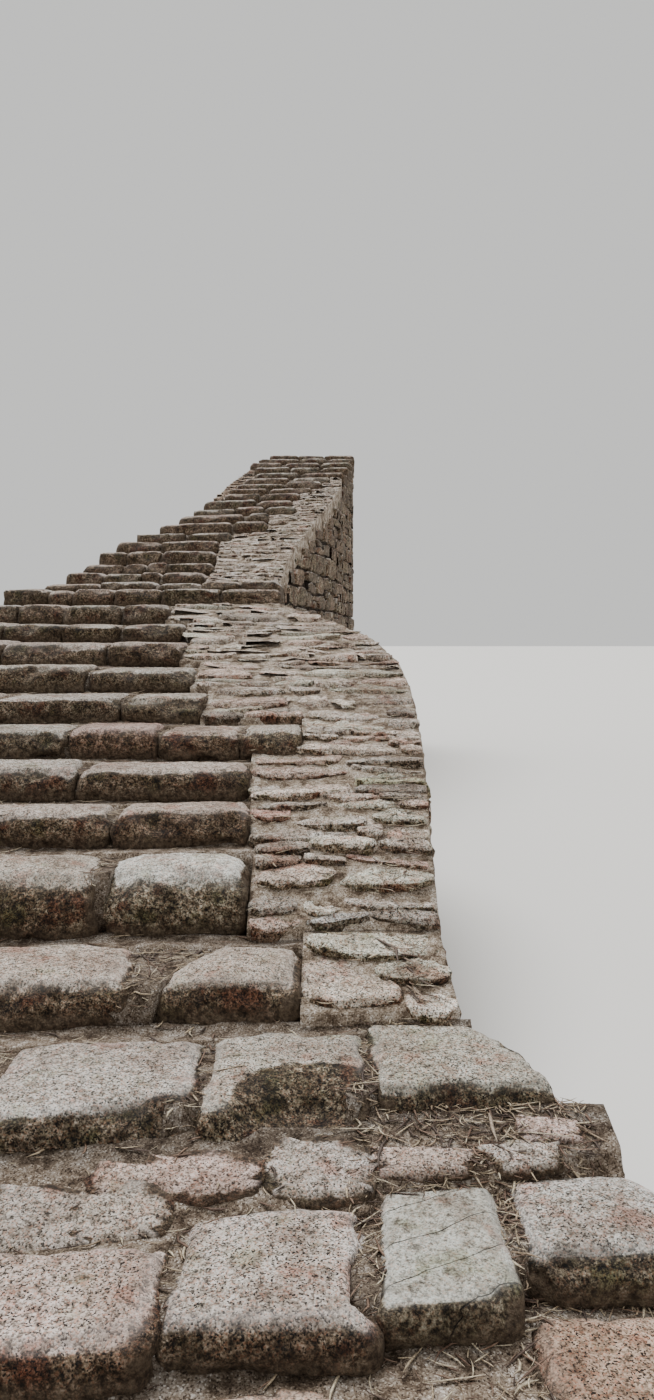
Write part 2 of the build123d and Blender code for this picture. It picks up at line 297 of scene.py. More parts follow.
def capped_grid(columns: int, rows: int, rings: int) -> tuple[Array, Array, Array]:
    """The faces of a grid of points whose rim runs on down through some rings to one closing face.

    Args:
        columns: Points across the grid.
        rows: Points from the front of the grid to its back.
        rings: Rings of points below the rim.

    Returns:
        The four-sided faces, the closing face, and the grid points that make up the rim.
    """
    index = np.arange(columns * rows).reshape(columns, rows)
    top = np.stack([index[:-1, :-1], index[1:, :-1], index[1:, 1:], index[:-1, 1:]], -1).reshape(-1, 4)
    rim = np.concatenate([index[:, 0], index[-1, 1:], index[-2::-1, -1], index[0, -2:0:-1]])
    below = columns * rows + np.arange(rings * len(rim)).reshape(rings, len(rim))
    loops = np.vstack([rim, below])
    upper, lower = loops[:-1], loops[1:]
    sides = np.stack([upper, lower, np.roll(lower, -1, 1), np.roll(upper, -1, 1)], -1).reshape(-1, 4)
    return np.vstack([top, sides]), loops[-1][::-1], rim


def round_between(
    directions: Array, normals: Array, reaches: Array, power: float
) -> tuple[Array, Array, Array]:
    """Rounds a solid that flat faces bound, by a power sum of how near each direction comes to each face.

    Along a direction q the surface lies at q / s, where s is the power sum of the ratios of q to the faces,
    (sum of (n.q / reach) ** power) ** (1 / power). A high power keeps the faces flat and the edges sharp.

    Args:
        directions: Vectors from the centre, along the last axis.
        normals: The faces' unit normals.
        reaches: How far each face is from the centre.
        power: How sharp the edges are.

    Returns:
        The factor for each direction, the slope of the rounded solid there, and each face's share in it.
    """
    ratio = np.clip(directions @ np.swapaxes(normals, -1, -2) / reaches[..., None, :], 0, None)
    total = (ratio**power).sum(-1) ** (1 / power)
    share = (ratio / total[..., None]) ** (power - 1)
    slope = (share / reaches[..., None, :]) @ normals
    return 1 / total, unit(slope), share / share.sum(-1, keepdims=True)


@dataclass
class Solid:
    """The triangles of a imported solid, joined where their corners meet."""

    vertices: Array
    triangles: Array

    @classmethod
    def read(cls, node: str) -> Solid:
        """Reads a node's mesh and leaves the node alone.

        Args:
            node: The CAD node's name.

        Returns:
            Its triangles, with corners at the same place joined.
        """
        mesh = bpy.data.objects[node].data
        mesh.calc_loop_triangles()
        places = np.empty(len(mesh.vertices) * 3, dtype=np.float32)
        mesh.vertices.foreach_get("co", places)
        corners = np.empty(len(mesh.loop_triangles) * 3, dtype=np.int32)
        mesh.loop_triangles.foreach_get("vertices", corners)
        keys = np.round(places.reshape(-1, 3).astype(np.float64) * 1e5).astype(np.int64)
        unique, back = np.unique(keys, axis=0, return_inverse=True)
        return cls(unique / 1e5, back.reshape(-1)[corners].reshape(-1, 3))

    def facing(self) -> Array:
        """The unit normal of each triangle."""
        a, b, c = (self.vertices[self.triangles[:, i]] for i in range(3))
        return unit(np.cross(b - a, c - a))

    def parts(self) -> list[Solid]:
        """The separate solids, from left to right: the lowest label is passed on from corner to corner."""
        label = np.arange(len(self.vertices))
        while True:
            low = label[self.triangles].min(axis=1)
            spread = label.copy()
            np.minimum.at(spread, self.triangles.ravel(), np.repeat(low, 3))
            if (spread == label).all():
                break
            label = spread
        found = []
        for name in np.unique(label):
            kept = np.flatnonzero(label == name)
            renumber = np.full(len(label), -1)
            renumber[kept] = np.arange(len(kept))
            own = self.triangles[label[self.triangles[:, 0]] == name]
            found.append(Solid(self.vertices[kept], renumber[own]))
        return sorted(found, key=lambda solid: solid.vertices[:, 0].mean())

    def outline(self, chosen: Array, up: int) -> Array:
        """The corners of a flat patch of triangles: front left, front right, back right, back left.

        An edge that only one triangle uses is on the rim, and its outward side tells front from back.

        Args:
            chosen: Which triangles make up the patch.
            up: 1 if they face up, -1 if they face down.

        Returns:
            The four corners.
        """
        picked = self.triangles[chosen]
        edges = np.concatenate([picked[:, [0, 1]], picked[:, [1, 2]], picked[:, [2, 0]]])
        _, first, counts = np.unique(np.sort(edges, axis=1), axis=0, return_index=True, return_counts=True)
        rim = edges[first[counts == 1]]
        run = self.vertices[rim[:, 1]] - self.vertices[rim[:, 0]]
        outward = -up * run[:, 0] / np.maximum(np.hypot(run[:, 0], run[:, 1]), 1e-9)
        front, back = rim[outward < -0.7].ravel(), rim[outward > 0.7].ravel()
        ends = [(front, np.argmin), (front, np.argmax), (back, np.argmax), (back, np.argmin)]
        return np.array([self.vertices[ids[pick(self.vertices[ids, 0])]] for ids, pick in ends])

    def terraces(self) -> list[Array]:
        """The corners of each flat top, from the lowest to the highest."""
        up = self.facing()[:, 2] > 0.99
        level = np.round(self.vertices[self.triangles[:, 0], 2] * 1000)
        return [self.outline(up & (level == height), 1) for height in np.unique(level[up])]

    def faces(self, centre: Array) -> tuple[Array, Array]:
        """The normals of the flat faces that bound the solid, and how far each is from the centre.

        A face that some corner stands in front of is a step in the outline, and it is left out.

        Args:
            centre: A point inside the solid.

        Returns:
            The unit normals and the distances.
        """
        normal = self.facing()
        reach = ((self.vertices[self.triangles[:, 0]] - centre) * normal).sum(1)
        table = np.unique(np.round(np.column_stack([normal, reach]), 3), axis=0)
        beyond = (self.vertices - centre) @ table[:, :3].T - table[:, 3]
        kept = table[(beyond.max(axis=0) < 2 * MM) & (table[:, 3] > 0)]
        return unit(kept[:, :3]), kept[:, 3]


@dataclass
class Block:
    """One block of a course, with what its dressing needs to know.

    Attributes:
        foot: The level of the ground or tread in front of it.
        grow: How far the sides stand out from the solid's, so that neighbours nearly touch.
    """

    solid: Solid
    foot: float
    grow: float = 0.008
    centre: Array = field(init=False)
    outline: Array = field(init=False)

    def __post_init__(self) -> None:
        """Finds the outline of the underside and the centre of the block."""
        places = self.solid.vertices
        self.outline = self.solid.outline(self.solid.facing()[:, 2] < -0.95, -1)
        self.centre = self.outline.mean(axis=0)
        self.centre[2] = (places[:, 2].min() + places[:, 2].max()) / 2

    @property
    def top(self) -> float:
        """The level of the highest point."""
        return float(self.solid.vertices[:, 2].max())


@dataclass
class Coat:
    """A material in the making, whose patterns lie on Object coordinates.

    Attributes:
        name: The finish's name.
        values: What the shader's own sockets are set to.
        place: The output that gives the place on the object.
    """

    name: str
    values: dict[str, float]
    material: Material = field(init=False)
    place: Socket = field(init=False)

    def __post_init__(self) -> None:
        """Makes the material and sets its shader's sockets."""
        self.material = bpy.data.materials.new(self.name)
        self.material.use_nodes = True
        for key, value in self.values.items():
            self.shader.inputs[key].default_value = value
        self.place = self.add("TexCoord", output="Object")

    @property
    def shader(self) -> bpy.types.Node:
        """The material's shader."""
        return self.material.node_tree.nodes["Principled BSDF"]

    def add(
        self,
        kind: str,
        inputs: dict | None = None,
        output: int | str = 0,
        stops: tuple = (),
        stepped: bool = False,
        **settings: object,
    ) -> Socket:
        """Adds a node with its settings, its values and its links.

        Args:
            kind: The shader node's type name.
            inputs: For each input name or number, a value, or the output that feeds it.
            output: The output that is wanted.
            stops: Where the node is a colour ramp, each stop's place and hex colour.
            stepped: Whether the ramp keeps each colour up to the next stop.
            settings: The node's own properties.

        Returns:
            The wanted output of the new node.
        """
        tree = self.material.node_tree
        node = tree.nodes.new("ShaderNode" + kind)
        for key, value in settings.items():
            setattr(node, key, value)
        for key, value in (inputs or {}).items():
            if isinstance(value, Socket):
                tree.links.new(value, node.inputs[key])
            else:
                node.inputs[key].default_value = value
        if stops:
            ramp = node.color_ramp
            ramp.interpolation = "CONSTANT" if stepped else "LINEAR"
            while len(ramp.elements) < len(stops):
                ramp.elements.new(1.0)
            for element, (place, code) in zip(ramp.elements, stops):
                element.position = place
                element.color = linear(code)
        return node.outputs[output]

    def darkened(self, colour: object, *layers: tuple) -> Socket:
        """A colour under one layer of tones after another.

        Args:
            colour: The colour below, or the output that gives it.
            layers: For each layer the output that draws it, how strong it is, and its stops.

        Returns:
            The output that gives the darkened colour.
        """
        for drawn_by, share, *stops in layers:
            tones = self.add("ValToRGB", {"Fac": drawn_by}, stops=stops)
            colour = self.add("Mix", {0: share, 6: colour, 7: tones}, 2, **DARKEN)
        return colour

    def done(
        self, colour: Socket, height: Socket, height_mm: float = 1.0, strength: float = 1.0
    ) -> Material:
        """Links the colour and the bump to the shader.

        Args:
            colour: The output that gives the colour.
            height: The output that gives the height.
            height_mm: How many millimetres a height of 1 is.
            strength: How much of the bump shows.

        Returns:
            The finished material.
        """
        bump = self.add("Bump", {"Height": height, "Strength": strength, "Distance": height_mm * MM})
        self.material.node_tree.links.new(colour, self.shader.inputs["Base Color"])
        self.material.node_tree.links.new(bump, self.shader.inputs["Normal"])
        return self.material


@dataclass(frozen=True)
class SplitGranite:
    """Coarse-grained granite, split by hand and left to weather.

    Pink feldspar, pale quartz and black mica grains give the eye its salt-and-pepper sparkle from nearby and
    a warm grey from further off. Feet have worn the tops pale. The faces are dark with grime and lichen, and
    with painted shade: their colour is darkened against the tops, for light that reaches a top and not a
    face.

    Attributes:
        minerals: Each mineral's share of the grains so far, and its tone against the stone's own tint.
        face_grime_and_shade: How far grime and painted shade darken a face against the top, from its darkest
            streaks to its cleanest patches.
        stains: The rusty and the olive patches on the faces.
        grime_and_shade_colour: The colour of the earth smeared along the foot of each face and beside the
            joints, which also paints the shade there.
        lichen: The dull green film in patches on the faces.
        grain_mm: The size of a crystal. Real ones are 2 to 5 mm, and they are drawn a little coarse to show.
        rough_mm: How high the broken texture stands, for grains, pecks and knocks.
        crack_mm: How far apart the cracks of the fine-grained stone are, and how deep.
        noises: Each pattern's size in millimetres, its detail and its roughness.
    """

    name: str
    minerals: tuple[tuple[float, str], ...] = (
        (0.0, "#F1D5C9"), (0.15, "#FFFFFF"), (0.43, "#D3D2CE"),
        (0.61, "#908D88"), (0.77, "#35322F"), (0.87, "#FFFFFF"),
    )
    face_grime_and_shade: tuple[str, str, str] = ("#A69D92", "#D0C7BC", "#F0E9DF")
    stains: tuple[str, str] = ("#BC9C89", "#A8AA86")
    grime_and_shade_colour: str = "#5F5142"
    lichen: str = "#8B8F70"
    grain_mm: float = 4.2
    rough_mm: tuple[float, float, float] = (1.6, 6.0, 13.0)
    crack_mm: tuple[float, float] = (120.0, 2.0)
    noises: dict[str, tuple[float, float, float]] = field(
        default_factory=lambda: {
            "grit": (7.0, 2.0, 0.60),
            "pecks": (17.0, 4.0, 0.70),
            "knocks": (45.0, 3.0, 0.65),
            "film": (85.0, 6.0, 0.75),
            "stains": (150.0, 4.0, 0.65),
            "patches": (260.0, 5.0, 0.62),
        }
    )

    def speckle(self, coat: Coat, fine: Socket) -> tuple[Socket, Socket]:
        """The pattern of crystals: each cell of a Voronoi pattern is one grain of one mineral.

        Args:
            coat: The material.
            fine: How much finer-grained the stone is, which pales the speckle.

        Returns:
            The speckle's colour, and how far a point is from the middle of its grain.
        """
        grains = coat.add("TexVoronoi", {"Vector": coat.place, "Scale": 1 / (self.grain_mm * MM)}, "Color")
        pick = coat.add("SeparateColor", {"Color": grains})
        tones = coat.add("ValToRGB", {"Fac": pick}, stops=self.minerals, stepped=True)
        softer = coat.add("MapRange", {"Value": fine, "To Min": 1.0, "To Max": 0.45})
        mixed = coat.add("Mix", {0: softer, 6: linear("#DEDBD6"), 7: tones}, 2, data_type="RGBA")
        return mixed, grains.node.outputs["Distance"]

    def cracks(self, coat: Coat, fine: Socket) -> Socket:
        """Thin cracks aslant over the fine-grained stone alone: the crests of a bent wave.

        A real crack is under 1 mm wide, and these are drawn about 3 mm wide to show.

        Args:
            coat: The material.
            fine: How much finer-grained the stone is.

        Returns:
            How cracked the stone is, from 0 to 1.
        """
        turned = coat.add("Mapping", {"Vector": coat.place, "Rotation": (0.0, 0.0, math.radians(-24))})
        waves_to_a_metre = math.pi / 10 / (self.crack_mm[0] * MM)
        bent = {"Distortion": 2.2, "Detail": 3.0, "Detail Scale": 1.6}
        wave = {"Vector": turned, "Scale": waves_to_a_metre, **bent}
        bands = coat.add("TexWave", wave, "Fac", bands_direction="Y")
        thin = coat.add("MapRange", {"Value": bands, "From Min": 0.9986, "From Max": 0.9998})
        chosen = coat.add("MapRange", {"Value": fine, "From Min": 0.5, "From Max": 0.7})
        return coat.add("Math", {0: thin, 1: chosen}, operation="MULTIPLY")

    def build(self) -> Material:
        """Builds the material. The tint and the weather come from the surface's own attributes."""
        coat = Coat(self.name, {"Roughness": 0.88, "IOR": 1.5, "Specular IOR Level": 0.3})
        tint = coat.add("Attribute", attribute_name="tint")
        weather = coat.add("Attribute", attribute_name="weather")
        worn, grime_and_shade, edge = coat.add("SeparateColor", {"Color": weather}).node.outputs
        fine = weather.node.outputs["Alpha"]
        noise = {}
        for name, (size, detail, rough) in self.noises.items():
            inputs = {"Vector": coat.place, "Scale": 1 / (size * MM), "Detail": detail, "Roughness": rough}
            noise[name] = coat.add("TexNoise", inputs)
        knocks, pecks, stains = noise["knocks"], noise["pecks"], noise["stains"]
        speckle, groove = self.speckle(coat, fine)
        crack = self.cracks(coat, fine)
        # the knocks and pecks layers darken the hollows of the relief. The last is partly grime that feet
        # have pressed into the pits of the tops, and partly painted shade in those pits
        stone = coat.darkened(
            coat.add("Mix", {0: 1.0, 6: tint, 7: speckle}, 2, **DARKEN),
            (noise["patches"], 0.9, (0.34, "#BFB2A9"), (0.50, "#F3F1ED"), (0.64, "#FFFFFF")),
            (stains, 1.0, (0.35, "#EDD3CB"), (0.44, "#FFFFFF"), (0.58, "#FFFFFF"), (0.68, "#E1E4D6")),
            (knocks, 0.85, (0.36, "#C6BEB6"), (0.48, "#F2F0ED"), (0.60, "#FFFFFF")),
            (crack, 1.0, (0.0, "#FFFFFF"), (1.0, "#3D3832")),
            (pecks, 0.85, (0.35, "#6A6057"), (0.45, "#DFDBD5"), (0.54, "#FFFFFF")),
        )
        dark, middle, light = self.face_grime_and_shade
        rusty, olive = self.stains
        # painted shade in part: a face is darkened against the top, for grime and for light that reaches a
        # top and not a face, most in the hollows of its knocks and pecks
        face = coat.darkened(
            stone,
            (knocks, 1.0, (0.34, dark), (0.48, middle), (0.62, light)),
            (pecks, 1.0, (0.35, "#8A837B"), (0.50, "#E0DAD2"), (0.60, "#FFFFFF")),
            (noise["grit"], 0.9, (0.36, "#6D665F"), (0.47, "#CFC9C0"), (0.60, "#FFFFFF")),
            (stains, 0.8, (0.38, rusty), (0.46, "#F6F3EE"), (0.54, "#F6F3EE"), (0.63, olive)),
        )
        spread = coat.add("MapRange", {"Value": noise["film"], "From Min": 0.48, "From Max": 0.64})
        share = coat.add("Math", {0: spread, 1: 0.6}, operation="MULTIPLY")
        shaded_lichen_face = coat.add("Mix", {0: share, 6: face, 7: linear(self.lichen)}, 2, **DARKEN)
        # feet wear a stone up to a ragged border, so noise decides where the worn top ends
        ragged = coat.add("Math", {0: knocks, 1: 0.6, 2: worn}, operation="MULTIPLY_ADD")
        ragged = coat.add("Math", {0: pecks, 1: 0.35, 2: ragged}, operation="MULTIPLY_ADD")
        border = {"Value": ragged, "From Min": 0.80, "From Max": 1.12}
        clean = coat.add("MapRange", border, interpolation_type="SMOOTHSTEP")
        dressed = coat.add("Mix", {0: clean, 6: shaded_lichen_face, 7: stone}, 2, data_type="RGBA")

        # earth grime and painted shade: blotches of the earth colour at the foot of each face, down the
        # sides in the joints and at the back, where shade falls
        blotches = coat.add("Math", {0: knocks, 1: 1.8}, operation="MULTIPLY")
        amount = coat.add("Math", {0: blotches, 1: grime_and_shade}, operation="MULTIPLY", use_clamp=True)
        earthy = coat.darkened(linear(self.grime_and_shade_colour), (pecks, 1.0, (0.35, "#8C8279"), (0.62, "#FFFFFF")))
        grimed_and_shaded = coat.add("Mix", {0: amount, 6: dressed, 7: earthy}, 2, data_type="RGBA")
        rubbed = coat.add("Math", {0: edge, 1: 0.30}, operation="MULTIPLY")
        final = coat.add("Mix", {0: rubbed, 6: grimed_and_shaded, 7: tint}, 2, data_type="RGBA")

        # heights in millimetres: knocks and pecks, flatter where feet wear them, then cracks and grooves
        grain_mm, peck_mm, knock_mm = self.rough_mm
        wear = coat.add("MapRange", {"Value": clean, "To Min": 1.0, "To Max": 0.75})
        height = coat.add("Math", {0: knocks, 1: knock_mm}, operation="MULTIPLY")
        height = coat.add("Math", {0: pecks, 1: peck_mm, 2: height}, operation="MULTIPLY_ADD")
        height = coat.add("Math", {0: height, 1: wear}, operation="MULTIPLY")
        for depth, shape in ((self.crack_mm[1], crack), (grain_mm, groove)):
            height = coat.add("Math", {0: shape, 1: -depth, 2: height}, operation="MULTIPLY_ADD")
        return coat.done(final, height)


@dataclass(frozen=True)
class TroddenEarth:
    """Sandy earth with crumbled granite and leaf mould, trodden hard.

    Pale grit and dark crumbs in brown soil give the eye a rough matt filling with a fine, uneven grain.

    Attributes:
        tones: The crumbs' share so far and their colours, from leaf mould to quartz grit.
        crumb_mm: The size of a crumb of grit.
        damp_mm: The size of a damp patch.
        clod_mm: The size of a clod.
    """

    name: str
    tones: tuple[tuple[float, str], ...] = (
        (0.0, "#8A7D70"), (0.28, "#A99D90"), (0.58, "#BDB2A6"), (0.80, "#5E5248"), (0.90, "#E3DBD1"),
    )
    crumb_mm: float = 4.0
    damp_mm: float = 71.43
    clod_mm: float = 14.286

    def build(self) -> Material:
        """Builds the material, with crumbs of several tones and a rough bump."""
        coat = Coat(self.name, {"Roughness": 0.95, "Specular IOR Level": 0.2})
        tint = coat.add("Attribute", attribute_name="tint")
        lumpy = {"Vector": coat.place, "Detail": 5.0}
        damp = coat.add("TexNoise", {"Scale": 1 / (self.damp_mm * MM), "Roughness": 0.7, **lumpy})
        clods = coat.add("TexNoise", {"Scale": 1 / (self.clod_mm * MM), "Roughness": 0.75, **lumpy})
        crumbs = coat.add("TexVoronoi", {"Vector": coat.place, "Scale": 1 / (self.crumb_mm * MM)}, "Color")
        pick = coat.add("SeparateColor", {"Color": crumbs})
        tones = coat.add("ValToRGB", {"Fac": pick}, stops=self.tones, stepped=True)
        earthy = coat.darkened(tones, (damp, 1.0, (0.38, "#7F7266"), (0.50, "#D3CAC0"), (0.62, "#FFFFFF")))
        colour = coat.add("Mix", {0: 1.0, 6: earthy, 7: tint}, 2, **DARKEN)
        grooves = {0: crumbs.node.outputs["Distance"], 1: -0.35, 2: clods}
        height = coat.add("Math", grooves, operation="MULTIPLY_ADD")
        return coat.done(colour, height, 7.0)


@dataclass(frozen=True)
class DryLitter:
    """Dead gum leaves and strips of bark, dried in the sun.

    Each piece has its own tint, from straw to grey-brown. Fine mottling and a faint sheen give the eye dry
    fibre.

    Attributes:
        fibre_mm: The size of a mottle.
    """

    name: str
    fibre_mm: float = 5.5556

    def build(self) -> Material:
        """Builds the material from the tint of each piece and the mottling."""
        coat = Coat(self.name, {"Roughness": 0.7})
        inputs = {"Vector": coat.place, "Scale": 1 / (self.fibre_mm * MM), "Detail": 3.0}
        mottling = coat.add("TexNoise", inputs)
        tint = coat.add("Attribute", attribute_name="tint")
        colour = coat.darkened(tint, (mottling, 1.0, (0.3, "#9A8E80"), (0.65, "#FFFFFF")))
        return coat.done(colour, mottling, strength=0.4)


@dataclass(frozen=True)
class StudioPaint:
    """Matt pale paint of the studio floor, with no pattern."""

    name: str
    tone: str = "#DAD8D4"

    def build(self) -> Material:
        """Builds the plain material of the floor."""
        material = bpy.data.materials.new(self.name)
        material.use_nodes = True
        shader = material.node_tree.nodes["Principled BSDF"]
        shader.inputs["Base Color"].default_value = linear(self.tone)
        shader.inputs["Roughness"].default_value = 0.9
        return material


@dataclass(frozen=True)
class Dressing:
    """How one block differs from its neighbours.

    Attributes:
        tint: The stone's own colour.
        hump: How far the middle of the top stands above its rim, in metres.
        fine: How much finer-grained and smoother the block is than the others, from 0 to 1.
        chips: How badly the edges are broken.
        nose: How much further the nosing is broken off, in metres.
        trim: How much of the usual splits the block has.
        skew: How far its front right corner stands forward, in metres.
        power: How sharp its edges are.
        bites: For each piece broken out of the nosing, its middle, half width and depth, in metres.
    """

    tint: str | None = None
    hump: float = 0.004
    fine: float = 0.0
    chips: float = 1.0
    nose: float = 0.0
    trim: float = 1.0
    skew: float = 0.0
    power: float = 34.0
    bites: tuple[tuple[float, float, float], ...] = ()


@dataclass
class GraniteFlight:
    """The granite blocks of all the courses, each block a broken and worn form of its solid.

    Attributes:
        bed_depth: How far a block is sunk below the tread in front of it.
        foot_cut: How far the foot of a face is cut back for each metre that the block is sunk.
        corner_out: How far the solid's corner cuts are moved out, in metres.
        slant_out: How far its slanting cuts are moved out, in metres.
        spacing: For some courses, the spacing of the points in metres.
        fine_cell: Below this spacing a block also gets the finer half of the relief.
        swell: The height of the broad lumps in millimetres, and their size in metres.
        relief: For each texture its pattern, height in millimetres, size in metres and step of the seed. The
            last two are the finer half.
        chip_sizes: For each size of chip its depth in millimetres, its size in metres, the values of the
            noise where it starts and where it is deepest, and the step of the seed.
        splits: For each split its turn from the front in radians, its rise, and how far it may stand out of
            the furthest corner that way, in metres. The last one undercuts the foot of the face.
        tints: The colours that the stones have, from pink to grey.
        special: The blocks that stand out, by course and place from the left.
    """

    finish: Material
    bed_depth: float = 0.060
    foot_cut: float = 0.41
    corner_out: float = 0.004
    slant_out: float = 0.006
    spacing: tuple[tuple[int, float], ...] = (
        (1, 0.0115), (3, 0.0115), (5, 0.014), (9, 0.018), (16, 0.026), (24, 0.034), (33, 0.038),
    )
    fine_cell: float = 0.02
    swell: tuple[float, float] = (14.0, 0.25)
    relief: tuple[tuple[Pattern, float, float | tuple, int], ...] = (
        (lumps, 7.0, 0.11, 1),
        (facets, 12.0, (0.12, 0.12, 0.08), 20),
        (facets, 5.0, 0.045, 40),
        (lumps, 2.5, 0.03, 2),
    )
    chip_sizes: tuple[tuple[float, float, tuple[float, float], int], ...] = (
        (30.0, 0.15, (0.0, 0.9), 4),
        (10.0, 0.05, (0.1, 0.85), 5),
    )
    splits: tuple[tuple[float, float, float], ...] = (
        (-0.38, 0.9, 0.010), (0.06, 0.75, 0.010), (0.42, 1.0, 0.010),
        (-0.15, 0.12, 0.0), (0.16, -0.06, 0.0), (0.02, 0.24, 0.006),
        (1.45, 0.9, 0.016), (-1.45, 0.9, 0.016), (0.75, 1.0, 0.010), (-0.75, 1.0, 0.010),
        (0.80, 0.25, 0.020), (-0.80, 0.25, 0.020), (2.8, 0.8, 0.014), (-2.8, 0.9, 0.014),
        (0.0, -0.45, -0.014),
    )
    tints: tuple[str, ...] = ("#D8CFC8", "#D5D1CC", "#D1CCC3", "#D9CDC5", "#CDCAC3", "#DCD5CF", "#D3C8BF")
    special: dict[tuple[int, int], Dressing] = field(
        default_factory=lambda: {
            (2, 3): Dressing("#DDCFC9", hump=0.003),
            (2, 4): Dressing("#D9D2CE", hump=0.005, chips=1.1, skew=0.055),
            (2, 5): Dressing("#D6D8D3", hump=0.002, fine=0.85, chips=0.9, bites=((1.215, 0.075, 0.05),)),
            (1, 4): Dressing("#D9C3B5", hump=0.006, power=26.0),
            (1, 5): Dressing("#CDB5A4", hump=0.006, power=26.0),
            (1, 6): Dressing("#CDB5A4", hump=0.006, power=26.0),
            (2, 6): Dressing("#DAD9D7", hump=0.014, fine=0.1, nose=0.006, power=20.0),
            (3, 3): Dressing(
                "#D9D5D1", hump=0.008, chips=1.2, nose=0.020, power=22.0, bites=((0.40, 0.16, 0.08),)
            ),
            (3, 4): Dressing("#D3D0C9", hump=0.006, chips=1.4, bites=((0.752, 0.27, 0.17),)),
            (3, 5): Dressing(
                "#CDCBC2", hump=0.010, chips=1.3, nose=0.008, bites=((1.15, 0.12, 0.04), (1.35, 0.10, 0.03))
            ),
            (4, 3): Dressing("#D6CDC5", hump=0.014, chips=1.2, nose=0.012, power=20.0),
            (4, 4): Dressing("#D6CDC4", hump=0.030, chips=1.3, nose=0.016, power=14.0),
            (5, 2): Dressing("#D5CFC6", hump=0.010, chips=1.1, nose=0.008, power=18.0),
            (5, 3): Dressing("#EBECE8", hump=0.020, fine=0.1, chips=1.2, nose=0.010, power=11.0),
            (8, 3): Dressing("#CFBAB3", hump=0.006, power=26.0),
        }
    )
    blocks: dict[int, list[Block]] = field(default_factory=dict)

    def read(self, names: list[str]) -> None:
        """Reads the blocks of every course.

        Args:
            names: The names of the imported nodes.
        """
        for number, name in enumerate(sorted(name for name in names if name.startswith("step_")), 1):
            parts = Solid.read(name).parts()
            bottom = min(part.vertices[:, 2].min() for part in parts)
            foot = bottom + self.bed_depth if number > 1 else 0.0
            self.blocks[number] = [Block(part, float(foot)) for part in parts]

    def cell(self, number: int) -> float:
        """The spacing of the points of a course, blended between the courses that have one stated."""
        return float(np.interp(number, *zip(*self.spacing)))

    def planes(self, block: Block, dressing: Dressing, dice: Dice) -> tuple[Array, Array]:
        """The flat faces that bound a block: the solid's own, and splits across its nosing, face and edges.

        A split's normal is turned by chance. Chance also sets how far inside the furthest corner that way it
        lies. The splits of the nosing lie deeper, and so do two in five of those at the sides.

        Args:
            block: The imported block.
            dressing: How the block differs from the others.
            dice: The source of chance.

        Returns:
            The unit normals, and how far each face is from the centre.
        """
        normals, reaches = block.solid.faces(block.centre)
        front = block.outline[1] - block.outline[0]
        facing = np.array([front[1], -front[0]]) / np.hypot(front[0], front[1])
        level = np.hypot(normals[:, 0], normals[:, 1])
        ahead = np.abs(normals[:, :2] @ facing)
        square = np.maximum(ahead, np.sqrt(np.clip(level**2 - ahead**2, 0, None))) > 0.94 * level
        upright = np.abs(normals[:, 2]) < 0.3
        slanting = ~upright & (level > 0.3)
        reaches = reaches + block.grow * upright
        reaches = reaches + self.corner_out * (upright & ~square) + self.slant_out * slanting
        undercut = self.foot_cut * (block.foot - block.solid.vertices[:, 2].min())
        splits = []
        for turn, rise, keep in self.splits:
            angle = math.atan2(facing[1], facing[0]) + turn + dice.normal(0, 0.10)
            normal = unit(np.array([math.cos(angle), math.sin(angle), rise + dice.normal(0, 0.06)]))
            furthest = ((block.solid.vertices - block.centre) @ normal).max()
            cut = dice.uniform(-0.006, 0.012)
            if abs(turn) < 0.6 and rise > 0.5:
                cut += dressing.nose + dice.uniform(0.0, 0.018)
            if 0.7 < abs(turn) < 2.0 and rise > 0.5 and dice.random() < 0.4:
                cut += dice.uniform(0.010, 0.035)
            if rise < -0.4:
                cut += undercut
            uncut = (block.grow - self.corner_out) * (1 - dressing.trim)
            splits.append((normal, furthest + (keep - cut) * dressing.trim + uncut))
        return np.vstack([normals, [n for n, _ in splits]]), np.append(reaches, [r for _, r in splits])

    def surface(self, block: Block, cell: float, dressing: Dressing, tint: str, seed: int) -> Surface:
        """One block: its flat faces joined by a power sum, then moved along the slope by noise.

        The noise adds broad lumps, broken patches, a pecked texture and chips along the edges. Tops get less
        of it than faces, because feet have worn them.

        Args:
            block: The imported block.
            cell: The spacing of the points.
            dressing: How the block differs from the others.
            tint: The colour of the stone.
            seed: Makes the block's noise its own.

        Returns:
            The closed surface.
        """
        low, high = block.solid.vertices.min(axis=0), block.solid.vertices.max(axis=0)
        width = np.linalg.norm(block.outline[1] - block.outline[0])
        depth = np.linalg.norm(block.outline[3] - block.outline[0])
        columns, rows = max(5, round(width / cell) + 1), max(5, round(depth / cell) + 1)
        u, v = np.meshgrid(np.linspace(0, 1, columns), np.linspace(0, 1, rows), indexing="ij")
        grid = bilinear(block.outline, u, v)
        grid[..., 2] = high[2]
        buried = max(block.foot - 0.015, low[2] + 0.01)
        shown = np.linspace(high[2], buried, max(3, round((high[2] - buried) / cell)) + 1)[1:]
        levels = np.concatenate([shown, [low[2]]])
        quads, cap, rim = capped_grid(columns, rows, len(levels))
        ring = np.repeat(grid.reshape(-1, 3)[rim][None], len(levels), axis=0)
        ring[..., 2] = levels[:, None]
        directions = np.concatenate([grid.reshape(-1, 3), ring.reshape(-1, 3)]) - block.centre
        normals, reaches = self.planes(block, dressing, np.random.default_rng(seed))
        factor, slope, share = round_between(directions, normals, reaches, dressing.power)
        points = block.centre + directions * factor[:, None]

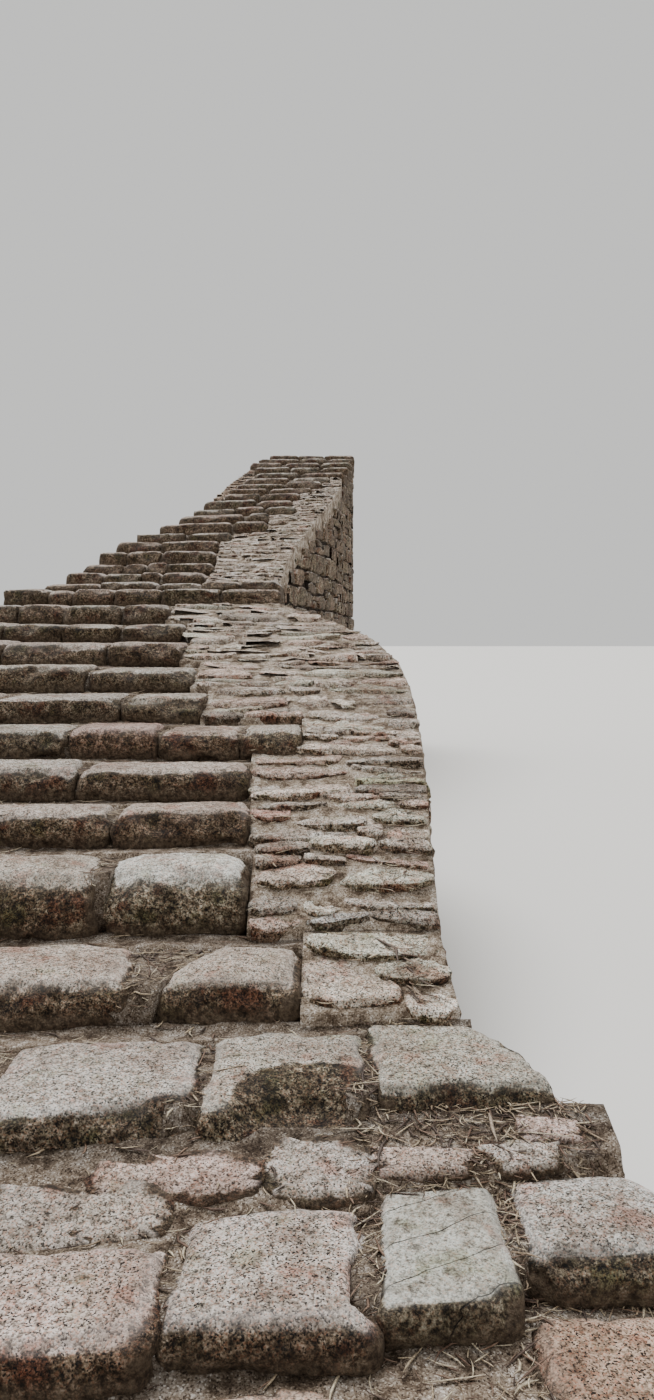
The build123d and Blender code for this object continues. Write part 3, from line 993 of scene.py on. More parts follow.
        top_share = share[:, normals[:, 2] > 0.95].sum(axis=1)
        side_share = share[:, np.abs(normals[:, 2]) < 0.3].sum(axis=1)
        rest = 1 - np.clip(top_share + side_share, 0, 1)
        above_ground = points[:, 2] > low[2] + 0.02
        edge = np.clip(4 * top_share * side_share + rest, 0, 1) * above_ground
        face = 1 - ease(slope[:, 2], 0.45, 0.95)
        coarse = 1 - 0.7 * dressing.fine
        rough = (0.30 + 0.70 * face) * coarse
        own = points + seed * 3.17
        height, size = self.swell
        move = height * MM * lumps(own, size, seed) * (0.25 + 0.75 * face) * (0.3 + 0.7 * dressing.trim)
        for pattern, height, size, step in self.relief if cell < self.fine_cell else self.relief[:2]:
            move += height * MM * pattern(own, size, seed + step) * rough
        chip = np.zeros_like(move)
        for height, size, limits, step in self.chip_sizes:
            chip += height * MM * ease(lumps(own, size, seed + step), *limits)
        move -= chip * edge * dressing.chips * (1 - 0.4 * dressing.fine)
        reach = bilinear_reach(block.outline, points)
        crown = np.clip(1 - reach[:, 0] ** 2, 0, 1) * np.clip(1 - reach[:, 1] ** 2, 0, 1)
        move += (dressing.hump * crown - 0.5 * dressing.hump) * ease(slope[:, 2], 0.2, 0.8)
        move *= ease(points[:, 2], low[2], low[2] + 0.05)
        points = points + slope * move[:, None]
        points[:, 1] -= dressing.skew * np.clip((1 + reach[:, 0]) * (1 - reach[:, 1]) / 4, 0, 1)
        whole = points
        for bite in dressing.bites:
            points = self.bitten(points, block, bite)
        fresh_depth = 0.035
        broken = np.clip(np.linalg.norm(points - whole, axis=1) / fresh_depth, 0, 1)

        # earth grime and painted shade: darker at the foot of each face, down the sides below the top where
        # blocks meet, and at the back
        above = points[:, 2] - block.foot
        upright = face * (1 - ease(slope[:, 2], 0.3, 0.6))
        beside = ease(np.abs(reach[:, 0]), 0.95, 1.03) * upright
        behind = ease(np.where(slope[:, 1] > 0, reach[:, 1], 0), 0.90, 1.02)
        low_down = 1 - ease(above, 0.0, 0.05)
        sunk = 1 - ease(points[:, 2], block.top - 0.06, block.top - 0.02)
        grime_and_shade = np.clip(0.8 * low_down * upright + beside * sunk + 0.7 * behind, 0, 1)
        worn = np.clip(ease(slope[:, 2], 0.30, 1.0) + 0.12 * lumps(own, 0.12, seed + 6) - broken, 0, 1)
        tone = np.array(linear(tint)) * (1 + 0.08 * lumps(own, 0.4, seed + 7))[:, None]
        rubbed = edge * (1 - face) * (1 - broken)
        weather = np.column_stack([worn, grime_and_shade, rubbed, np.full(len(points), dressing.fine)])
        return Surface(points, quads, [cap], np.clip(tone, 0, 1), weather)

    @staticmethod
    def bitten(points: Array, block: Block, bite: tuple[float, float, float]) -> Array:
        """Points moved back and down where a piece has broken out of the nosing.

        The push falls off like a bell over the width, and with the height below the top.

        Args:
            points: The block's points.
            block: The block.
            bite: Its middle, half width and depth.

        Returns:
            The moved points.
        """
        middle, half, depth = bite
        across = np.clip(1 - ((points[:, 0] - middle) / half) ** 2, 0, 1) ** 1.7
        front = np.interp(points[:, 0], block.outline[:2, 0], block.outline[:2, 1])
        behind = points[:, 1] - front
        near = np.clip(1 - behind / (1.6 * depth), 0, 1)
        level = ease(points[:, 2], block.foot + 0.01, block.top - 0.02)
        moved = points.copy()
        moved[:, 1] += 0.75 * depth * across * near * level
        moved[:, 2] -= 0.35 * depth * across * np.clip(1 - behind / depth, 0, 1) ** 1.5 * level
        return moved

    @staticmethod
    def by_chance(number: int, block: Block, dice: Dice) -> Dressing:
        """The dressing of a block that doesn't stand out: two bites, and crisper edges in the far courses.

        Args:
            number: The course's number.
            block: The block.
            dice: The source of chance.

        Returns:
            The dressing.
        """
        ends = block.outline[:2, 0]
        places = ends[0] + np.ptp(ends) * dice.uniform(0, 1, 2)
        bites = zip(places, dice.uniform(0.05, 0.17, 2), dice.uniform(0.01, 0.06, 2))
        return Dressing(
            hump=float(dice.uniform(0.002, 0.010)),
            chips=float(dice.uniform(0.7, 1.7) * np.interp(number, [6, 12], [1.0, 0.75])),
            trim=float(np.interp(number, [5, 8], [1.0, 0.55])),
            power=float(dice.uniform(15.0, 36.0) * np.interp(number, [5, 8], [1.0, 2.0])),
            bites=tuple(bites),
        )

    def build(self) -> None:
        """Builds one piece for each course."""
        dice = np.random.default_rng(41)
        for number, blocks in self.blocks.items():
            parts = []
            for index, block in enumerate(blocks):
                random_tint = self.tints[dice.integers(len(self.tints))]
                dressing = self.special.get((number, index), self.by_chance(number, block, dice))
                tint, seed = dressing.tint or random_tint, 100 * number + 11 * index
                parts.append(self.surface(block, self.cell(number), dressing, tint, seed))
            name, node = f"course_{number:02d}_blocks", f"step_{number:02d}"
            Surface.joined(parts).to_piece(name, self.finish, Slot.BLOCKS, (node,))


def bilinear_reach(corners: Array, points: Array) -> Array:
    """How far points lie across and back between four corners, each from -1 to 1.

    Args:
        corners: Front left, front right, back right, back left.
        points: Places to measure.

    Returns:
        Two values for each point.
    """
    middle = corners.mean(axis=0)
    across = ((corners[1] + corners[2]) - (corners[0] + corners[3]))[:2] / 4
    back = ((corners[2] + corners[3]) - (corners[0] + corners[1]))[:2] / 4
    offset = points[:, :2] - middle[:2]
    return offset @ np.linalg.inv(np.array([across, back]))


@dataclass
class StoneSet:
    """Many small stones that share one pattern of points, each with its own place, turn and size.

    Attributes:
        pattern: Points across, points back and rings down.
        back_cut: How far from the centre the cut corners at the back lie. At 1.41 they are uncut.
        front_cut: The same for the corners at the front.
        lean: How much the faces lean, as a share of their size.
        wear: How far up a face must look before feet start to wear it, and where they wear it most.
        taper: How much a stone may narrow towards its two ends, as a share of its depth.
        knock: How far the noise moves the surface, in metres.
        powers: How sharp the power sums are: of the sides, of the two flat faces, and of both together.
    """

    pattern: tuple[int, int, int]
    back_cut: tuple[float, float] = (0.78, 1.15)
    front_cut: tuple[float, float] = (0.90, 1.32)
    lean: float = 0.15
    wear: tuple[float, float] = (-0.30, 0.60)
    taper: float = 0.0
    knock: float = 0.008
    powers: tuple[float, float, float] = (13.0, 20.0, 18.0)
    centres: list[Array] = field(default_factory=list)
    axes: list[Array] = field(default_factory=list)
    halves: list[Array] = field(default_factory=list)

    def lay(self, centre: Array, axes: Array, halves: Array) -> None:
        """Adds a stone. The rows of axes are its own X, Y and Z, and its best face looks along Z."""
        for kept, value in ((self.centres, centre), (self.axes, axes), (self.halves, halves)):
            kept.append(np.asarray(value))

    def surface(self, tints: Array, seed: int, accents: Accents = ()) -> Surface:
        """All the stones: leaning faces with cut corners joined by a power sum, then knocked about by noise.

        The sides and the two flat faces are joined apart first, the sides softly and the flat faces hardly
        at all, and then together with a high power, which keeps the rim of the best face sharp.

        Args:
            tints: Linear colours to pick from.
            seed: Makes the noise and the leans repeatable.
            accents: Places in plan, and the colour that the stone nearest to each has instead.

        Returns:
            The closed surfaces as one.
        """
        dice = np.random.default_rng(seed)
        count = len(self.centres)
        columns, rows, rings = self.pattern
        across, along = (np.sin(np.linspace(-1, 1, n) * math.pi / 2) for n in (columns, rows))
        x, y = np.meshgrid(across, along, indexing="ij")
        quads, cap, rim = capped_grid(columns, rows, rings)
        grid = np.column_stack([x.ravel(), y.ravel(), np.ones(columns * rows)])
        ring = np.repeat(grid[rim][None], rings, axis=0)
        ring[..., 2] = np.linspace(1, -1, rings + 1)[1:, None]
        directions = np.concatenate([grid, ring.reshape(-1, 3)])[None]

        flat = np.array([[1, 0, 0], [-1, 0, 0], [0, 1, 0], [0, -1, 0]], dtype=float)
        slant = np.array([[1, 1, 0], [-1, 1, 0], [-1, -1, 0], [1, -1, 0]]) / math.sqrt(2)
        base = np.concatenate([flat, slant])
        sides = unit(base + dice.normal(0, self.lean, (count, len(base), 3)) * [1, 1, 0.6])
        cuts = [dice.uniform(*limits, (count, 2)) for limits in (self.back_cut, self.front_cut)]
        reaches = np.concatenate([np.ones((count, 4)), *cuts], axis=1)
        around, around_slope, _ = round_between(directions, sides, reaches, self.powers[0])
        leans = dice.normal(0, 0.5 * self.lean, (count, 2, 3)) * [1, 1, 0]
        caps = unit(np.array([[0, 0, 1], [0, 0, -1]]) + leans)
        over, over_slope, _ = round_between(directions, caps, np.ones((count, 2)), self.powers[1])
        a, b, rim_power = 1 / around, 1 / over, self.powers[2]
        total = (a**rim_power + b**rim_power) ** (1 / rim_power)
        shares = [((part / total) ** (rim_power - 1))[..., None] for part in (a, b)]
        slope = around_slope * shares[0] + over_slope * shares[1]
        halves, axes = np.array(self.halves)[:, None], np.array(self.axes)
        local = directions / total[..., None] * halves
        narrowed = np.random.default_rng(seed + 5).uniform(0.2, 1.0, (count, 2, 1)) * self.taper
        ends = np.abs(local[..., 0] / halves[..., 0]) ** 1.6
        local[..., 1] *= 1 - ends * np.where(local[..., 0] < 0, narrowed[:, 0], narrowed[:, 1])
        normal = unit(slope / halves) @ axes
        points = np.array(self.centres)[:, None] + local @ axes
        own = points + np.arange(count)[:, None, None] * 1.93
        move = self.knock * (lumps(own, 0.12, seed) + 0.8 * facets(own, 0.06, seed + 1))
        points = points + normal * move[..., None]

        outer = local[..., 2] / halves[..., 2]
        worn = ease(normal[..., 2], *self.wear)
        # earth grime and painted shade: each stone is darker towards its bottom, or its back for a wall
        # stone, where it lies in earth and in shade
        grime_and_shade = np.clip(1 - ease(outer, -0.9, 0.25), 0, 1)
        weather = np.stack([worn, grime_and_shade, np.zeros_like(worn), np.zeros_like(worn)], -1)
        tone = tints[dice.integers(len(tints), size=count)] * dice.uniform(0.78, 1.16, (count, 1))
        centres = np.array(self.centres)
        for x, y, code in accents:
            tone[np.hypot(centres[:, 0] - x, centres[:, 1] - y).argmin()] = linear(code)
        return Surface.repeated(points, quads, [cap], tone, weather)


def colours(*codes: str) -> Array:
    """Several hex values as rows of linear colours."""
    return np.array([linear(code) for code in codes])


def laid_axes(direction: Array, dice: Dice, turn: float, dip: float, tilt: float) -> Array:
    """Axes of a stone that lies along a level direction, turned and tilted a little by chance.

    Args:
        direction: Where the stone's X points, in plan.
        dice: The source of chance.
        turn: The spread of its turn in plan, in radians.
        dip: How far its top leans down to the front, in radians.
        tilt: The spread of its tilt, in radians.

    Returns:
        The rows X, Y and Z.
    """
    heading = math.atan2(direction[1], direction[0]) + dice.normal(0, turn)
    across = unit(np.array([math.cos(heading), math.sin(heading), dice.normal(0, tilt)]))
    lean = dip + dice.normal(0, tilt)
    down = math.sin(lean)
    up = np.array([math.sin(heading) * down, -math.cos(heading) * down, math.cos(lean)])
    up = unit(up - across * (up @ across))
    return np.array([across, np.cross(up, across), up])


@dataclass
class Pitching:
    """Thin stones laid like scales in narrow rows that climb beside the treads, bedded in earth.

    Attributes:
        node: The CAD node that the stones stand for.
        length: The middle length of a stone.
        thickness: Half the thickness of a stone.
        gap: The joint between two stones.
        bay: How far along a step the stones keep to the same number of rows.
        single: How many of the bays have one row and not two.
        spread: How uneven the lengths are.
        near_steps: How many small steps near the foot get stones with finer points.
        joint_depth: How far the earth lies below the stones' faces.
        margin: How far the right-hand stones and their earth stay inside the solid's side.
        lap: How deep a stone is against its row, at least and at most.
        sit: How far back in its row the middle of a stone lies, as a share.
        lift: How far a stone stands above the slope of its row, at least and at most.
        dip: How much of the slope of its row a stone has.
        accents: Places in plan near the foot, and the colour that the stone nearest to each has instead.
    """

    node: str
    name: str
    finish: Material
    earth: Material
    tints: Array
    seed: int
    length: float = 0.27
    thickness: float = 0.045
    gap: float = 0.006
    bay: float = 0.55
    single: float = 0.52
    spread: float = 0.42
    near_steps: int = 0
    joint_depth: float = 0.013
    margin: float = 0.018
    lap: tuple[float, float] = (1.0, 1.4)
    sit: tuple[float, float] = (0.28, 0.76)
    lift: tuple[float, float] = (-0.012, 0.006)
    dip: float = 0.42
    accents: Accents = ()
    patches: list[Array] = field(default_factory=list)
    dice: Dice = field(init=False)

    def __post_init__(self) -> None:
        """Starts the source of chance."""
        self.dice = np.random.default_rng(self.seed)

    def lay_row(self, corners: Array, rise: float, stones: StoneSet) -> None:
        """Lays the stones of one small step, in bays that have one row or two.

        Args:
            corners: The flat top of the step.
            rise: How high the step is.
            stones: Where the stones go.
        """
        length = float(np.linalg.norm(corners[1] - corners[0]))
        corners = corners.copy()
        corners[1:3] += (corners[[0, 3]] - corners[1:3]) * min(self.margin / length, 0.1)
        bays = marks_by(self.dice.uniform(0.6, 1.4, max(1, round(length / self.bay))))
        for left, right in zip(bays, bays[1:]):
            split = self.dice.uniform(0.40, 0.60)
            one_row = self.dice.random() < self.single
            for low, high in [(0.0, 1.0)] if one_row else [(0.0, split), (split, 1.0)]:
                self.lay_bay(corners, (left, right, low, high), rise, stones)

    def lay_bay(
        self, corners: Array, bay: tuple[float, float, float, float], rise: float, stones: StoneSet
    ) -> None:
        """Lays one row of stones over a part of a small step.

        Args:
            corners: The flat top of the step.
            bay: The part's left, right, front and back, as shares of the step.
            rise: How high the step is.
            stones: Where the stones go.
        """
        dice = self.dice
        left, right, low, high = bay
        front_ends, back_ends = (bilinear(corners, np.array([left, right]), v) for v in (low, high))
        run = front_ends[1] - front_ends[0]
        length = float(np.linalg.norm(run))
        longer = 1.2 if high - low > 0.9 else 1.0
        count = max(1, round(length / (self.length * dice.uniform(0.85, 1.2) * longer)))
        cuts = marks_by(np.exp(dice.normal(0, self.spread, count)))
        for start, stop in zip(cuts, cuts[1:]):
            middle = (start + stop) / 2
            front = front_ends[0] * (1 - middle) + front_ends[1] * middle
            back = back_ends[0] * (1 - middle) + back_ends[1] * middle
            depth = float(np.linalg.norm(back - front))
            half = np.array([(stop - start) * length - self.gap, depth * dice.uniform(*self.lap), 0]) / 2
            half[2] = self.thickness * dice.uniform(0.8, 1.25)
            place = dice.uniform(*self.sit)
            centre = front + (back - front) * place
            centre[2] += rise * (low + (high - low) * place - 0.5) - half[2] + dice.uniform(*self.lift)
            dip = self.dip * math.atan2(rise * (high - low), depth)
            stones.lay(centre, laid_axes(run, dice, min(0.12, 0.016 / half[0]), dip, 0.042), half)

    def bed(self, rows: list[Array], rises: Array) -> Surface:
        """The earth that the stones lie in: a knobbly ramp, halfway up the rise at each row's back.

        Args:
            rows: The flat tops of the small steps.
            rises: How high each step is.

        Returns:
            The closed surface.
        """
        lines = [rows[0][:2] - [0, 0, rises[0] / 2]]
        lines += [row[[3, 2]] + [0, 0, rise / 2] for row, rise in zip(rows, [*rises[1:], rises[-1]])]
        rails = np.array(lines) - [0, 0, self.joint_depth]
        width = np.linalg.norm(rails[:, 1] - rails[:, 0], axis=1).max()
        columns = max(4, round(width / 0.03) + 1)
        u = np.linspace(0, 1 - 0.025 / width, columns)
        spread = rails[:, :1] * (1 - u)[None, :, None] + rails[:, 1:] * u[None, :, None]
        steps = np.linspace(0, len(rails) - 1, (len(rails) - 1) * 5 + 1)
        whole = np.minimum(steps.astype(int), len(rails) - 2)
        part = (steps - whole)[:, None, None]
        grid = np.swapaxes(spread[whole] * (1 - part) + spread[whole + 1] * part, 0, 1)
        grid[..., 2] += 6 * MM * lumps(grid, 0.06, self.seed) + 3 * MM * lumps(grid, 0.03, self.seed + 1)
        self.patches.append(grid)
        return earth_patch(grid, 0.20, np.full(grid.shape[:2], 0.15))

    def build(self) -> None:
        """Builds the stones and their bed."""
        rows = Solid.read(self.node).terraces()
        near, far = StoneSet((13, 7, 3)), StoneSet((7, 4, 2), taper=0.55)
        runs = [[rows[0]]]
        for row in rows[1:]:
            if np.linalg.norm(row[0] - runs[-1][-1][3]) > 0.12:
                runs.append([])
            runs[-1].append(row)
        laid = 0
        beds = []
        for run in runs:
            levels = [row[0, 2] for row in run]
            rises = np.diff([2 * levels[0] - levels[1], *levels]) if len(run) > 1 else np.array([0.045])
            beds.append(self.bed(run, rises))
            for corners, rise in zip(run, rises):
                self.lay_row(corners, float(rise), near if laid < self.near_steps else far)
                laid += 1
        parts = [
            stones.surface(self.tints, self.seed + index, self.accents if stones is near else ())
            for index, stones in enumerate((near, far))
            if stones.centres
        ]
        Surface.joined(parts).to_piece(self.name, self.finish, Slot.PITCHING, (self.node,))
        Surface.joined(beds).to_piece(f"{self.name}_bed", self.earth, Slot.PITCHING)


def earth_patch(grid: Array, depth: float, damp: Array) -> Surface:
    """Closes a grid of earth: its rim runs straight down by depth to one flat face.

    Args:
        grid: Points across and back, with their place along the last axis.
        depth: How far the rim runs down.
        darkening: How dark the earth is at each point, from 0 to 1: painted shade towards the foot of a
            riser and in the joints, and a darker tone.

    Returns:
        The closed surface.
    """
    columns, rows = grid.shape[:2]
    quads, cap, rim = capped_grid(columns, rows, 1)
    flat = grid.reshape(-1, 3)
    points = np.concatenate([flat, flat[rim] - [0, 0, depth]])
    points[:, 2] = np.maximum(points[:, 2], np.append(np.full(len(flat), 4 * MM), np.zeros(len(rim))))
    shade = 1 - 0.62 * np.clip(damp.ravel(), 0, 1)
    tint = np.repeat(np.concatenate([shade, shade[rim]])[:, None], 4, axis=1)
    return Surface(points, quads, [cap], tint, np.ones_like(tint))


def moved_aside(line: Array, distance: float) -> Array:
    """A line in plan moved to its left, mitred at its corners.

    Args:
        line: The line's points.
        distance: How far it moves. A negative distance moves it to its right.

    Returns:
        The moved points.
    """
    steps = np.diff(line, axis=0)
    normals = np.column_stack([-steps[:, 1], steps[:, 0]]) / np.linalg.norm(steps, axis=1)[:, None]
    before, after = np.vstack([normals[:1], normals]), np.vstack([normals, normals[-1:]])
    mitre = (before + after) / (1 + (before * after).sum(axis=1))[:, None]
    return line + distance * mitre


@dataclass
class DryWall:
    """A dry stone wall: rough stones in uneven courses on the outside, with dark packing behind them.

    Attributes:
        node: The CAD node of the wall.
        side: Which edge of the steps it stands under.
        lift: The height between two open bed joints of the solid. Each lift is two courses of stones.
        split: How far up a lift its wavy middle joint may run.
        thin: How many of the stones are two thin ones instead.
        length: The middle length of a stone.
        uneven: How much the lengths of neighbours differ.
        gap: The open joint between two stones.
        stone_depth: How far a stone reaches into the wall.
        face_in: How far the packing lies behind the stones' faces.
        bed_joint: Half the height of an open bed joint between two lifts.
        packing_depth: How thick the packing is.
        recess: How far a stone's face may lie behind the wall's face, at least and at most.
        least: The least height that is worth a stone of its own.
        free: How far along Y the wall's steps stand free, and get a stone across their front.
    """

    node: str
    side: Side
    finish: Material
    packing: Material
    tints: Array
    seed: int
    lift: float = 0.400
    split: tuple[float, float] = (0.34, 0.66)
    thin: float = 0.24
    length: float = 0.34
    uneven: float = 0.42
    gap: float = 0.011
    stone_depth: float = 0.11
    face_in: float = 0.055
    bed_joint: float = 0.004
    packing_depth: float = 0.09
    recess: tuple[float, float] = (-0.002, 0.018)
    least: float = 0.060
    free: float = 0.0
    stones: StoneSet = field(init=False)
    dice: Dice = field(init=False)

    def __post_init__(self) -> None:
        """Starts an empty set of stones and the source of chance."""
        self.stones = StoneSet((7, 5, 2), (0.92, 1.35), (0.92, 1.35), lean=0.10, wear=(0.0, 1.0))
        self.dice = np.random.default_rng(self.seed)

    @property
    def outward(self) -> float:
        """1 if the outside lies to the left of the wall's line, and -1 if to the right."""
        return 1.0 if self.side is Side.LEFT else -1.0

    def path(self, terraces: list[Array]) -> tuple[Array, Array]:
        """The outer line of the wall in plan, and the level of its top along each stretch.

        Args:
            terraces: The corners of the solid's flat tops, from the lowest to the highest.

        Returns:
            The line's points, and one level fewer than that.
        """
        # the floors of the open bed joints look up too. They start where a terrace above them starts, and
        # reach the wall's outer face, so the lowest gives the place there and the highest terrace the level
        if self.side is Side.BACK:
            line = terraces[0][[1, 2, 3, 0], :2]
            return line, np.full(3, max(corners[0, 2] for corners in terraces))
        near, far = (0, 3) if self.side is Side.LEFT else (1, 2)
        stretches: list[tuple[Array, Array, float]] = []
        for corners in terraces:
            start, stop = corners[near, :2], corners[far, :2]
            if stretches and abs(start[1] - stretches[-1][0][1]) < 0.02:
                start, stop, _ = stretches.pop()
            stretches.append((start, stop, corners[near, 2]))
        line = [start for start, _, _ in stretches] + [stretches[-1][1]]
        return np.array(line), np.array([top for _, _, top in stretches])

    def lay_course(self, joints: Array, line: Array, tops: Array) -> None:
        """Lays one course of stones between two bed joints, and up to the wall's top where that is lower.

        Args:
            joints: Places along the wall, and the levels of the joint below and the joint above there.
            line: The outer line of the wall.
            tops: The level of its top along each stretch.
        """
        steps = np.diff(line, axis=0)
        marks = np.concatenate([[0], np.cumsum(np.linalg.norm(steps, axis=1))])
        headings = np.arctan2(steps[:, 1], steps[:, 0])
        corner = np.append(True, np.cos(np.diff(headings)) < 0.95)
        stretches: list[tuple[float, float, float]] = []
        for start, stop, top, turned in zip(marks, marks[1:], tops, corner):
            below, above = (np.interp((start + stop) / 2, joints[0], row) for row in joints[1:])
            if top <= below + self.least:
                continue
            level = math.inf if top > above + self.least else float(top)
            if not turned and stretches and stretches[-1][1:] == (start, level) and level == math.inf:
                start = stretches.pop()[0]
            stretches.append((start, stop, level))
        for start, stop, level in stretches:
            count = max(1, round((stop - start) / (self.length * self.dice.uniform(0.85, 1.25))))
            cuts = start + (stop - start) * marks_by(np.exp(self.dice.normal(0, self.uneven, count)))
            for a, b in zip(cuts, cuts[1:]):
                below, above = (float(np.interp((a + b) / 2, joints[0], row)) for row in joints[1:])
                above = above if level == math.inf else level
                levels = [below, above]
                if above - below > 0.13 and self.dice.random() < self.thin:
                    levels.insert(1, below + (above - below) * self.dice.uniform(0.35, 0.65))
                ends = np.array([[np.interp(s, marks, line[:, k]) for k in (0, 1)] for s in (a, b)])
                for low, high in zip(levels, levels[1:]):
                    self.lay_stone(ends, low, high)

    def lay_stone(self, ends: Array, low: float, high: float) -> None:
        """Lays one stone with its best face outward.

        Args:
            ends: Where its outer face starts and stops, in plan.
            low: The level of the joint below it.
            high: The level of the joint above it.
        """
        length = float(np.linalg.norm(ends[1] - ends[0]))
        along = np.append(ends[1] - ends[0], 0.0) / length
        outward = np.cross([0, 0, 1], along) * self.outward
        half = np.array([length, high - low, self.stone_depth]) / 2 - [self.gap / 2, self.gap / 2, 0]
        centre = np.append(ends.mean(axis=0), (low + high) / 2)
        centre = centre - outward * (half[2] + self.dice.uniform(*self.recess))
        lean = unit(outward + self.dice.normal(0, 0.035, 3))
        across = np.cross([0, 0, 1], lean)
        across[2] = self.dice.normal(0, 0.025)
        across = unit(across - lean * (across @ lean))
        self.stones.lay(centre, np.array([across, np.cross(lean, across), lean]), half)

    def backing(self, line: Array, tops: Array) -> Surface:
        """The dark packing: a band behind the stones' faces, carried along the line and stepped with it.

        Args:
            line: The outer line of the wall.
            tops: The level of its top along each stretch.

        Returns:
            The closed surfaces as one.
        """
        outer = moved_aside(line, -self.outward * self.face_in)
        inner = moved_aside(line, -self.outward * (self.face_in + self.packing_depth))
        parts = []
        for index, top in enumerate(tops):
            corners = np.array([outer[index], outer[index + 1], inner[index + 1], inner[index]])
            if self.outward < 0:
                corners = corners[[1, 0, 3, 2]]
            high = np.column_stack([corners, np.full(4, top - self.bed_joint)])
            quads, cap, _ = capped_grid(2, 2, 1)
            points = np.concatenate([high[[0, 3, 1, 2]], high * [1, 1, 0]])
            white = np.ones((len(points), 4))
            parts.append(Surface(points, quads, [cap], white, white))
        return Surface.joined(parts)

    def build(self) -> None:
        """Builds the wall's stones and its packing."""
        line, tops = self.path(Solid.read(self.node).terraces())
        length = float(np.linalg.norm(np.diff(line, axis=0), axis=1).sum())
        knots = np.linspace(0, length, max(2, round(length / 0.55)))
        for level in np.arange(0.0, tops.max(), self.lift):
            low = np.full_like(knots, level + self.bed_joint)
            high = np.full_like(knots, level + self.lift - self.bed_joint)
            middle = level + self.lift * self.dice.uniform(*self.split, len(knots))
            self.lay_course(np.array([knots, low, middle]), line, tops)
            self.lay_course(np.array([knots, middle, high]), line, tops)
        for corner, low, high in zip(line[1:], tops, tops[1:]):
            if corner[1] < self.free:
                ends = corner + np.array([[0.27, 0], [0.12, 0]]) * self.outward
                self.lay_stone(ends, float(low) - 0.01, float(high))
        surface = self.stones.surface(self.tints, self.seed)
        surface.to_piece(f"{self.node}_stones", self.finish, Slot.WALLING, (self.node,))
        self.backing(line, tops).to_piece(f"{self.node}_packing", self.packing, Slot.WALLING)


